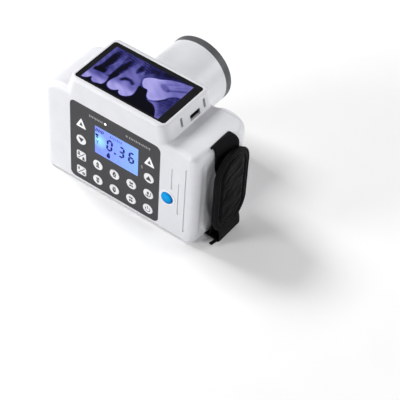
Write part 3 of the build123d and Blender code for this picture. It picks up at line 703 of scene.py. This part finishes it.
def fill_lcd():
    """Digits, drop and small marks, placed from the lower left corner of the window."""
    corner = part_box("lcd_window")[0]
    x, z = corner.x / MM, corner.z / MM
    dark = ink("lcd_ink", "0A0C88", "06086E", depth=0.002, Specular_IOR_Level=0.1)
    pale = ink("lcd_ink_pale", "5A6AD8", "4E5CC8", depth=0.002, Specular_IOR_Level=0.1)
    base = z + 11.1
    groups = digit("0", x + 12.8, base) + digit("3", x + 26.4, base) + digit("6", x + 37.8, base)
    groups.append([rounded_box(x + 23.3, base + 1.1, 2.2, 2.2, 0.4)])
    drop = [(0.0, 3.5), (0.9, 2.5), (1.6, 0.6), (2.1, -1.2), (1.9, -2.8), (1.1, -3.6)]
    drop_x, drop_z = x + 15.8, z + 5.4
    groups.append([turn_points(mirrored(drop, drop_x, drop_z, 1), drop_x, drop_z, -8)])
    groups += row_of_bars(x + 0.5, x + 10.4, z + 29.4, 4.0, 6, slant=2.4)
    groups.append([rounded_box(x + 2.4, z + 23.2, 3.4, 2.6, 0.4)])
    groups.append([rounded_box(x + 2.6, z + 20.6, 2.4, 1.6, 0.4)])
    print_marks("lcd_digits", groups, corner.y, dark, "housing", thick=0.03)
    soft = row_of_bars(x + 16.8, x + 31.0, z + 29.5, 3.2, 7, slant=1.4)
    for x0, z0, x1, z1 in ((2.0, 16.8, 2.8, 14.2), (4.2, 16.8, 2.8, 14.2), (2.8, 14.3, 2.6, 12.0)):
        soft.append([bar(x + x0, z + z0, x + x1, z + z1, 0.8)])
    print_marks("lcd_soft_marks", soft, corner.y, pale, "housing", thick=0.02)


# ---------------------------------------------------------------- radiograph on the top display
def ease(low, high, value):
    t = np.clip((value - low) / (high - low), 0, 1)
    return t * t * (3 - 2 * t)


def oval(x, y, cx, cy, rx, ry, degrees=0.0):
    """Signed distance, about, from an ellipse: negative inside."""
    c, s = math.cos(math.radians(degrees)), math.sin(math.radians(degrees))
    u = ((x - cx) * c + (y - cy) * s) / rx
    v = (-(x - cx) * s + (y - cy) * c) / ry
    return (np.hypot(u, v) - 1) * min(rx, ry)


def curve_points(points, closed, steps=6):
    """Smooth curve through given points."""
    count = len(points)
    corners = [np.array(point, float) for point in points]
    spans = count if closed else count - 1
    found = []
    for i in range(spans):
        a = corners[i - 1] if closed or i > 0 else corners[0]
        b, c = corners[i], corners[(i + 1) % count]
        d = corners[(i + 2) % count] if closed or i + 2 < count else corners[-1]
        for k in range(steps):
            t = k / steps
            bend, twist = 2 * a - 5 * b + 4 * c - d, 3 * b - a - 3 * c + d
            found.append(0.5 * (2 * b + (c - a) * t + bend * t ** 2 + twist * t ** 3))
    if not closed:
        found.append(corners[-1])
    return found


def stroke(x, y, points, closed=False):
    """Distance from a smooth curve."""
    path = curve_points(points, closed)
    ends = path[1:] + (path[:1] if closed else [])
    nearest = np.full(x.shape, 1e3)
    for (ax, ay), (bx, by) in zip(path, ends):
        span = max((bx - ax) ** 2 + (by - ay) ** 2, 1e-9)
        t = np.clip(((x - ax) * (bx - ax) + (y - ay) * (by - ay)) / span, 0, 1)
        nearest = np.minimum(nearest, np.hypot(x - ax - t * (bx - ax), y - ay - t * (by - ay)))
    return nearest


def shape(x, y, points):
    """Signed distance from a closed smooth outline: negative inside."""
    path = curve_points(points, True)
    inside = np.zeros(x.shape, bool)
    for (ax, ay), (bx, by) in zip(path, path[1:] + path[:1]):
        if abs(by - ay) < 1e-9:
            continue
        crosses = ((ay > y) != (by > y)) & (x < (bx - ax) * (y - ay) / (by - ay) + ax)
        inside ^= crosses
    return np.where(inside, -1.0, 1.0) * stroke(x, y, points, closed=True)


MIDDLE_CROWN = (
    (-24.6, -6), (-26, -10.5), (-27.3, -15), (-27.6, -19.5), (-26.4, -23.2), (-23.4, -25.6),
    (-19.4, -26.2), (-16, -24.8), (-13.8, -22.6), (-12, -25.2), (-8.2, -26.6), (-4, -25.2),
    (-1, -22), (-0.1, -18.4), (-0.9, -13.4), (-2.6, -8), (-4.6, -5), (-9, -9), (-14.5, -9.6),
    (-19.6, -9),
)
MIDDLE_ROOTS = (
    (-24.6, -7), (-24, 0), (-23.2, 7), (-22, 14), (-20, 20.6), (-17.4, 17.5), (-17.4, 11),
    (-16.4, 6.2), (-14.4, 4.6), (-12.4, 7), (-10.8, 12), (-8.8, 9), (-6.8, 3), (-4.4, -3),
    (-2.6, -8), (-8, -10.5), (-19, -10.5),
)
LEFT_CROWN = (
    (-53.5, -18), (-53.5, -28), (-49, -28.8), (-45.4, -27), (-43, -23.6), (-41.4, -26.6),
    (-37.8, -28.6), (-33.8, -27.4), (-30.2, -26), (-29, -22.4), (-29.6, -17), (-32.2, -11.5),
    (-36.6, -12.4), (-42.4, -13.2), (-48.4, -15),
)
LEFT_ROOTS = (
    (-32, -12), (-32.4, -3), (-32.6, 6), (-34, 13), (-36.2, 18.4), (-38.2, 13), (-38.6, 6),
    (-38.2, -1), (-37.8, -9), (-39.6, -13),
)
RIGHT_TOOTH = (
    (-5.2, 2.4), (-4.6, 5.2), (-2.2, 7.8), (1.6, 10), (6.6, 11.8), (10.6, 14.4), (15.6, 17.4), (22, 19.8),
    (30, 21.4), (39, 22), (39, 6), (31.5, 2), (27, -2.2), (24.6, -7), (21.4, -11.2),
    (17.6, -14), (13.6, -15.2), (10.2, -13.4), (8.2, -10.2), (6.6, -7.2), (4.8, -6), (2, -6),
    (-1, -4.2), (-3.6, -1.2),
)
JAW_EDGE = (
    (4, -12), (10, -15.4), (14.6, -17.2), (20, -18), (25, -21), (29, -25.6), (32, -31),
)


def bone_tones(x, y):
    """Mottled upper bone and the jaw at the right, over black air."""
    warp = 1.6 * np.sin(0.43 * x + 0.29 * y) + 1.1 * np.sin(0.17 * x - 0.37 * y + 1.3)
    streak = np.sin(0.95 * x + 1.5 * y + 2.0 * warp) * np.sin(0.6 * x - 0.8 * y + 1.7 * warp)
    mottle = np.sin(0.7 * x - 0.5 * y + 2.0 * np.sin(0.23 * y)) * np.sin(0.9 * y + 1.3 * np.sin(0.4 * x))
    bone = 0.42 + 0.03 * streak + 0.035 * mottle + 0.02 * np.sin(0.21 * x + 0.6 * warp)
    bone -= 0.12 * ease(6, 18, y) * ease(-14, 4, x)
    for cx, cy, rx, ry, turn, depth in (
        (-43.0, 3.0, 3.4, 14.0, 0, 0.26), (-28.6, 2.0, 2.8, 11.0, -6, 0.27), (-14.8, 12.0, 1.9, 4.2, 6, 0.20),
        (-2.0, 16.0, 5.0, 3.0, 0, 0.08), (10.0, 20.0, 6.0, 2.4, 12, 0.08),
    ):
        bone -= depth * ease(1.6, -1.6, oval(x, y, cx, cy, rx, ry, turn))
    for cx, cy, rx, ry in ((-28.0, 10.0, 5.0, 11.0), (-43.0, 6.0, 4.4, 13.0), (-12.0, 16.0, 7.0, 6.0)):
        bone += 0.08 * (streak - 0.4) * ease(3.0, -2.0, oval(x, y, cx, cy, rx, ry))
    for offset in (0.0, 2.4):
        line = ((-4.0 - offset, -4.0), (-6.8 - offset, 2.0), (-5.4, 7.4 + offset), (1.0, 12.6 + offset))
        bone += 0.10 * ease(1.0, 0.2, stroke(x, y, line))
    gum = -7.0 + 1.2 * np.sin(0.30 * (x + 34)) + 2.0 * ease(-6, 4, x)
    air_left = ease(1.2, -1.4, y - gum) * ease(14, 11, x)
    jaw_y = np.interp(x.ravel(), *zip(*curve_points(JAW_EDGE, False))).reshape(x.shape)
    air_right = ease(1.0, -0.8, y - jaw_y) * ease(6, 9, x)
    near_edge = ease(9.0, 0.5, y - jaw_y) * ease(10, 16, x)
    bone += 0.27 * near_edge - 0.05 * ease(27, 31, x) * ease(-16, -8, y)
    return bone * (1 - np.maximum(air_left, air_right))


def radiograph_tones(x, y):
    """Brightness over the active area, in millimetres: bone, air and three upper molars."""
    tone = bone_tones(x, y)
    soft = 0.05 * np.sin(0.35 * x + 0.8 * np.sin(0.3 * y)) + 0.03 * np.sin(0.8 * y + 0.5 * x)

    root = shape(x, y, LEFT_ROOTS)
    tone += (0.52 + soft - tone) * ease(1.0, -1.0, root)
    root = oval(x, y, -50.0, 2.0, 3.2, 22.0)
    tone += (0.50 + soft - tone) * ease(1.0, -1.0, root)
    crown = shape(x, y, LEFT_CROWN)
    glow = 0.58 + 0.30 * ease(-17.0, -23.0, y) + soft
    tone += (glow - tone) * ease(0.7, -0.9, crown) * ease(-10.0, -15.5, y)

    root = shape(x, y, MIDDLE_ROOTS)
    fade = ease(19.0, 8.0, y + 0.5 * (x + 16))
    tone += (0.62 + soft + 0.05 * ease(4, -4, y) - tone) * ease(1.0, -1.2, root) * (0.35 + 0.65 * fade)
    crown = shape(x, y, MIDDLE_CROWN)
    glow = 0.70 + 0.28 * ease(-12.0, -20.0, y) + soft
    tone += (glow - tone) * ease(0.7, -0.9, crown)
    fissure = stroke(x, y, ((-8.0, -24.5), (-12.2, -22.0), (-13.8, -20.6)))
    tone -= 0.12 * ease(1.4, 0.0, fissure) * ease(0.0, -1.0, crown)

    tooth = shape(x, y, RIGHT_TOOTH)
    along = (x + 5) * 0.85 + (y - 2) * 0.5
    glow = 0.97 - 0.27 * ease(8.0, 32.0, along) + 0.5 * soft
    glow += 0.10 * ease(2.6, 0.4, -tooth) * ease(28, 16, along)
    tone += (glow - tone) * ease(0.6, -0.9, tooth)
    tone -= 0.16 * ease(1.1, 0.2, np.abs(tooth - 1.2)) * ease(10, 16, x) * ease(-2, -8, y)

    tone -= 0.24 * ease(1.6, -1.0, oval(x, y, 17.0, 5.4, 5.4, 2.6, -22))
    for points, width, depth in (
        (((-47.6, -12.0), (-45.0, -9.8), (-41.6, -9.6), (-38.6, -11.6)), 2.6, 0.4),
        (((-20.0, -9.6), (-17.4, -6.8), (-12.8, -6.2), (-9.0, -8.4)), 3.4, 0.44),
        (((21.0, 4.2), (26.0, 7.6), (34.5, 12.8)), 2.2, 0.2),
        (((14.0, 9.0), (19.0, 12.6), (25.0, 17.0)), 1.3, 0.12),
        (((24.0, 10.6), (28.0, 14.0), (32.0, 16.6)), 1.0, 0.1),
    ):
        tone -= depth * ease(width, 0.0, stroke(x, y, points))
    tone += 0.10 * ease(1.2, 0.0, stroke(x, y, ((-36.0, 7.0), (-38.0, 1.0), (-41.0, -6.0))))
    return np.clip(tone, 0, 1) ** 1.3


IMAGE_PITCH = 0.42                                      # spacing of the image's points
LEFT_EDGE, RIGHT_EDGE, FRONT_EDGE, REAR_EDGE = 5.6, 8.0, 1.9, 4.8     # black border of the glass


def show_radiograph(material):
    """Image on the top display: a fine grid whose points hold their tone, closed underneath."""
    low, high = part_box("display_glass")
    x0, x1 = low.x / MM + LEFT_EDGE, high.x / MM - RIGHT_EDGE
    y0, y1 = low.y / MM + FRONT_EDGE, high.y / MM - REAR_EDGE
    nx, ny = round((x1 - x0) / IMAGE_PITCH) + 1, round((y1 - y0) / IMAGE_PITCH) + 1
    xs, ys = np.linspace(x0, x1, nx), np.linspace(y0, y1, ny)
    grid_x, grid_y = np.meshgrid(xs, ys)
    tones = radiograph_tones(grid_x, grid_y)
    level, foot = high.z + 0.04 * MM, high.z + 0.005 * MM
    bm = bmesh.new()
    layer = bm.verts.layers.float.new("tone")
    rows = []
    for j in range(ny):
        row = []
        for i in range(nx):
            vert = bm.verts.new((xs[i] * MM, ys[j] * MM, level))
            vert[layer] = tones[j, i]
            row.append(vert)
        rows.append(row)
    for j in range(ny - 1):
        for i in range(nx - 1):
            bm.faces.new((rows[j][i], rows[j][i + 1], rows[j + 1][i + 1], rows[j + 1][i]))
    rim = rows[0] + [row[-1] for row in rows[1:]] + rows[-1][-2::-1] + [row[0] for row in rows[-2:0:-1]]
    under = []
    for vert in rim:
        copy = bm.verts.new((vert.co.x, vert.co.y, foot))
        copy[layer] = vert[layer]
        under.append(copy)
    for i in range(len(rim)):
        j = (i + 1) % len(rim)
        bm.faces.new((rim[j], rim[i], under[i], under[j]))
    bm.faces.new(under[::-1])
    new_piece("display_image", bm, material, "housing")


# ---------------------------------------------------------------- hand strap
BAND_THICK = 1.3


def rounded_path(points, radii, steps=8):
    """Corner points of a path with an arc at each inner corner."""
    path = [Vector(points[0])]
    for before, corner, after, radius in zip(points, points[1:], points[2:], radii):
        before, corner, after = Vector(before), Vector(corner), Vector(after)
        into, out = (before - corner).normalized(), (after - corner).normalized()
        half = into.angle(out) / 2
        reach = radius / math.tan(half)
        centre = corner + (into + out).normalized() * radius / math.sin(half)
        first, last = corner + into * reach - centre, corner + out * reach - centre
        for i in range(steps + 1):
            path.append(centre + first.slerp(last, i / steps).normalized() * radius)
    path.append(Vector(points[-1]))
    return path


def add_band(bm, front_path, rear_path):
    """Flat webbing between two edge paths, with soft edges and a slightly raised selvedge."""
    across = 18
    rings = []
    count = len(front_path)
    for i in range(count):
        a, b = front_path[i], rear_path[i]
        along = (front_path[min(i + 1, count - 1)] - front_path[max(i - 1, 0)]).normalized()
        along += (rear_path[min(i + 1, count - 1)] - rear_path[max(i - 1, 0)]).normalized()
        normal = along.cross(b - a).normalized()
        top, bottom = [], []
        for k in range(across + 1):
            t = k / across
            edge = min(t, 1 - t) * (b - a).length / MM
            half = BAND_THICK / 2 * math.sqrt(max(0.0, 1 - max(0.0, 1 - edge / 0.8) ** 2))
            half *= 1.0 + 0.14 * math.exp(-((edge - 1.6) / 0.8) ** 2)
            middle = a.lerp(b, t)
            top.append(bm.verts.new(middle + normal * max(half, 0.12) * MM))
            bottom.append(bm.verts.new(middle - normal * max(half, 0.12) * MM))
        rings.append(top + bottom[::-1])
    skin(bm, rings, False)


def in_plane(path, y):
    """Strap edge in the plane of this y, from (x, z) points in millimetres."""
    return [Vector((x * MM, y * MM, z * MM)) for x, z in path]


def draped(points, y):
    """Smooth strap edge through (x, z) points, in the plane of this y."""
    return in_plane(curve_points(points, False, 5), y)


def webbing(name, material, *bands):
    """Piece of one or more bands, each a front and a rear edge."""
    bm = bmesh.new()
    for front, rear in bands:
        add_band(bm, front, rear)
    return new_piece(name, bm, material, "housing", smooth=50)


def upper_strap(material):
    """Webbing out of the shoulder slot, draped over the grip lobe and down behind the pad."""
    low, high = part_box("upper_webbing")
    front = (
        (82.9, 104.0), (82.9, 107.6), (84.4, 109.2), (86.5, 107.0), (87.6, 102.5), (87.9, 95.0), (88.3, 86.0),
        (91.0, 76.0), (93.6, 66.0),
    )
    rear = (
        (82.9, 104.0), (82.9, 107.8), (84.6, 109.9), (90.8, 109.3), (94.4, 105.8), (95.0, 99.0), (94.8, 90.0),
        (94.2, 78.0), (93.8, 66.0),
    )
    edges = draped(front, low.y / MM + 0.3), draped(rear, high.y / MM - 0.3)
    piece = webbing("upper_strap", material, edges)
    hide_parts("upper_webbing")


def lower_strap(material):
    """Webbing from the base slot, round under the pad's foot, and its layer behind the pad."""
    low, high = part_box("lower_webbing")
    front_y, rear_y = low.y / MM + 0.4, high.y / MM - 0.4
    turn = ((80.0, 3.7), (95.0, 3.7), (97.2, 1.7), (99.9, 1.7), (101.6, 4.6), (101.2, 11.0), (99.4, 18.5))
    path = rounded_path(turn, (4.0, 2.4, 1.8, 2.4, 6.0))
    front_layer = ((88.9, 3.9), (89.9, 9.0), (91.2, 17.0), (92.9, 32.0))
    rear_layer = ((95.1, 3.7), (95.0, 9.0), (93.9, 17.0), (93.8, 32.0))
    layer = draped(front_layer, front_y), draped(rear_layer, rear_y)
    piece = webbing("lower_strap", material, (in_plane(path, front_y), in_plane(path, rear_y)), layer)
    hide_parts("lower_webbing")


def strap_end(material):
    """Cut tail of the adjusting strap, a little lifted at its end."""
    low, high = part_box("strap_tail")
    middle = (low + high) / 2
    turn = Matrix.Rotation(math.radians(-8), 3, "Z")
    half_width, half_length, step = 1.8, 4.4, 2.2
    lift = (0.5, 0.35, 0.15, 0.0, 0.0)
    edges = [
        [middle + turn @ Vector((side, i * step - half_length, rise)) * MM for i, rise in enumerate(lift)]
        for side in (-half_width, half_width)
    ]
    piece = webbing("strap_end", material, edges)
    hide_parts("strap_tail")


PAD_RIM = 6.2        # width of the padded rim outside the seam
PAD_SPACING = 1.9    # of the points along the outline and the rings inside it
PAD_GRID = 2.0       # of the points inside the rings
PAD_RINGS = (0.7, 1.6, 2.9, 4.2, 5.4, 6.2, 7.0, 8.4)
GRID_INSET, CROWN_INSET = 9.6, PAD_RIM + 0.9
ON_OUTLINE = 0.01

PUFF_FRAMES = 24
PUFF_SETTINGS = {
    "quality": 8, "mass": 0.15, "use_pressure": True, "uniform_pressure_force": 6.0, "shrink_min": -0.05,
    "tension_stiffness": 20, "compression_stiffness": 20, "bending_stiffness": 0.6,
}


def stadium(inset, half_w, half_h, spacing):
    """Evenly spaced points of the pad's outline, moved in by the inset."""
    r = half_w - inset
    straight = half_h - half_w
    total = 2 * math.pi * r + 4 * straight
    count = max(12, round(total / spacing))
    points = []
    for i in range(count):
        s = total * i / count
        if s < 2 * straight:
            points.append((r, -straight + s))
            continue
        s -= 2 * straight
        if s < math.pi * r:
            points.append((r * math.cos(s / r), straight + r * math.sin(s / r)))
            continue
        s -= math.pi * r
        if s < 2 * straight:
            points.append((-r, straight - s))
            continue
        s -= 2 * straight
        points.append((-r * math.cos(s / r), -straight - r * math.sin(s / r)))
    return points


def pad_inset(u, v, half_w, half_h):
    """Distance of a point from the outline, inwards."""
    straight = half_h - half_w
    return half_w - math.hypot(u, v - max(-straight, min(straight, v)))


def pad_height(inset):
    """Profile of the padded face over its back: round edge, soft rim, sewn channel, rising crown."""
    if inset < 1.8:
        return 3.4 + 1.9 * math.sqrt(max(0.0, 1 - (1 - inset / 1.8) ** 2))
    if inset < PAD_RIM:
        t = (inset - 1.8) / (PAD_RIM - 1.8)
        return 5.3 + 0.85 * math.sin(math.pi * t) - 0.9 * t ** 3
    t = 1 - math.exp(-(inset - PAD_RIM) / 3.6)
    return 4.4 + 2.3 * t


def pad_mesh(half_w, half_h):
    """Closed pad: (across, up, out) points in millimetres, faces, and which points belong to the crown."""
    outline = stadium(0.0, half_w, half_h, PAD_SPACING)
    points = list(outline)
    for inset in PAD_RINGS:
        points += stadium(inset, half_w, half_h, PAD_SPACING)
    for j in range(-30, 31):
        for i in range(-16, 17):
            u, v = (i + 0.5 * (j % 2)) * PAD_GRID, j * PAD_GRID * 0.866
            if pad_inset(u, v, half_w, half_h) > GRID_INSET:
                points.append((u, v))
    edges = [(i, (i + 1) % len(outline)) for i in range(len(outline))]
    found = delaunay_2d_cdt([Vector(p) for p in points], edges, [], 1, 1e-4)
    flat, faces = found[0], found[2]
    insets = [pad_inset(p.x, p.y, half_w, half_h) for p in flat]
    rim = [i for i, inset in enumerate(insets) if inset < ON_OUTLINE]
    rim.sort(key=lambda i: math.atan2(flat[i].y, flat[i].x))
    count = len(flat)
    front = [(p.x, p.y, pad_height(inset)) for p, inset in zip(flat, insets)]
    back = [
        (p.x, p.y, 1.1 * math.exp(-inset / 1.2) if inset > ON_OUTLINE else 1.6)
        for p, inset in zip(flat, insets)
    ]
    all_faces = [tuple(f) for f in faces] + [tuple(i + count for i in reversed(f)) for f in faces]
    for a, b in zip(rim, rim[1:] + rim[:1]):
        all_faces.append((b, a, a + count, b + count))
    crown = [i for i, inset in enumerate(insets) if inset > CROWN_INSET]
    return front + back, all_faces, crown


def puff(piece, crown, cap):
    """Inflates the crown as cloth sewn down round its edge, by no more than the cap in millimetres."""
    scene = bpy.context.scene
    held = piece.vertex_groups.new(name="held")
    held.add(sorted(set(range(len(piece.data.vertices))) - set(crown)), 1.0, "ADD")
    cloth = piece.modifiers.new("puff", "CLOTH")
    cloth.settings.vertex_group_mass = "held"
    for setting, value in PUFF_SETTINGS.items():
        setattr(cloth.settings, setting, value)
    cloth.settings.effector_weights.gravity = 0
    cloth.collision_settings.use_collision = False
    cloth.point_cache.frame_start, cloth.point_cache.frame_end = 1, PUFF_FRAMES
    for number in range(1, PUFF_FRAMES + 1):
        scene.frame_set(number)
    evaluated = piece.evaluated_get(bpy.context.evaluated_depsgraph_get())
    moved = [v.co.copy() for v in evaluated.data.vertices]
    piece.modifiers.remove(cloth)
    piece.vertex_groups.remove(held)
    scene.frame_set(1)
    for vert, after in zip(piece.data.vertices, moved):
        shift = after - vert.co
        length = shift.length
        if length > 1e-9:
            vert.co += shift * (cap * MM * math.tanh(length / (cap * MM)) / length)


def hand_pad(material, thread, edge_material):
    low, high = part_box("hand_pad")
    centre_y, centre_z = (low.y + high.y) / 2, (low.z + high.z) / 2
    half_w, half_h = (high.y - low.y) / (2 * MM) - 0.8, (high.z - low.z) / (2 * MM) - 0.8

    def place(u, v, out):
        return Vector((low.x + out * MM, centre_y + u * MM, centre_z + v * MM))

    points, faces, crown = pad_mesh(half_w, half_h)
    bm = bmesh.new()
    verts = [bm.verts.new(place(*point)) for point in points]
    for face in faces:
        bm.faces.new([verts[i] for i in face])
    pad = new_piece("hand_strap_pad", bm, material, "housing", smooth=70)
    puff(pad, crown, 1.3)
    smoother = pad.modifiers.new("smoother", "SUBSURF")
    smoother.levels = smoother.render_levels = 1
    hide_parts("hand_pad")

    bm = bmesh.new()
    ring = stadium(0.35, half_w, half_h, 1.5)
    add_tube(bm, [place(u, v, 4.6) for u, v in ring], 1.25 * MM, 10)
    new_piece("hand_strap_piping", bm, edge_material, "housing", smooth=80)

    bm = bmesh.new()
    seam = stadium(PAD_RIM - 0.1, half_w, half_h, 0.5)
    length, gap = 5, 2
    rises = [0.02] + [0.28] * (length - 2) + [0.02]
    for i in range(0, len(seam) - length, length + gap):
        run = [place(u, v, pad_height(PAD_RIM) + rise) for (u, v), rise in zip(seam[i:i + length], rises)]
        add_tube(bm, run, 0.2 * MM, 6, closed=False)
    new_piece("hand_strap_stitches", bm, thread, "housing", smooth=60)


def add_tube(bm, path, radius, sides, closed=True, square_to=(1, 0, 0)):
    """Round tube along points; the path is never parallel to the direction square_to."""
    rings = []
    count = len(path)
    for i, point in enumerate(path):
        ahead = path[(i + 1) % count] if closed else path[min(i + 1, count - 1)]
        behind = path[i - 1] if closed else path[max(i - 1, 0)]
        along = (ahead - behind).normalized()
        side = along.cross(Vector(square_to)).normalized()
        out = side.cross(along).normalized()
        ring = []
        for k in range(sides):
            angle = 2 * math.pi * k / sides
            ring.append(bm.verts.new(point + (side * math.cos(angle) + out * math.sin(angle)) * radius))
        rings.append(ring)
    skin(bm, rings, closed)


def button_coil(material):
    """Spring of the exposure button: a wire coil wound through the box of the CAD spring, which it stands in
    for.
    """
    low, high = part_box("button_spring")
    x, z = (low.x + high.x) / 2, (low.z + high.z) / 2
    wire, turns, steps = 0.35 * MM, 4, 28
    radius = (high.x - low.x) / 2 - wire
    front, rear = low.y + wire + 0.06 * MM, high.y - wire
    path = []
    for i in range(turns * steps + 1):
        angle = 2 * math.pi * i / steps
        along = front + (rear - front) * i / (turns * steps)
        path.append(Vector((x + radius * math.cos(angle), along, z + radius * math.sin(angle))))
    bm = bmesh.new()
    add_tube(bm, path, wire, 10, closed=False, square_to=(0, 1, 0))
    coil = new_piece("button_spring_coil", bm, material, None, smooth=60)
    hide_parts("button_spring")
    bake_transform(coil)


# ---------------------------------------------------------------- the whole
def main():
    add_camera()
    add_studio()
    materials = build_materials()
    finish_nodes(materials)
    mark_keys(ink("key_ink", "2E2E31", "252528"))
    print_overlay()
    fill_lcd()
    show_radiograph(radiograph())
    button_coil(materials["spring_steel"])
    upper_strap(materials["webbing_black"])
    lower_strap(materials["webbing_black"])
    strap_end(materials["webbing_black"])
    thread = moulded("strap_thread", "3A3A3D", "2C2C2E", (0.5, 0.6), grain=0.2, depth=0.02)
    hand_pad(materials["pad_black"], thread, leather("pad_piping", "151517", "0C0C0E", 0.8, (0.4, 0.55)))


main()
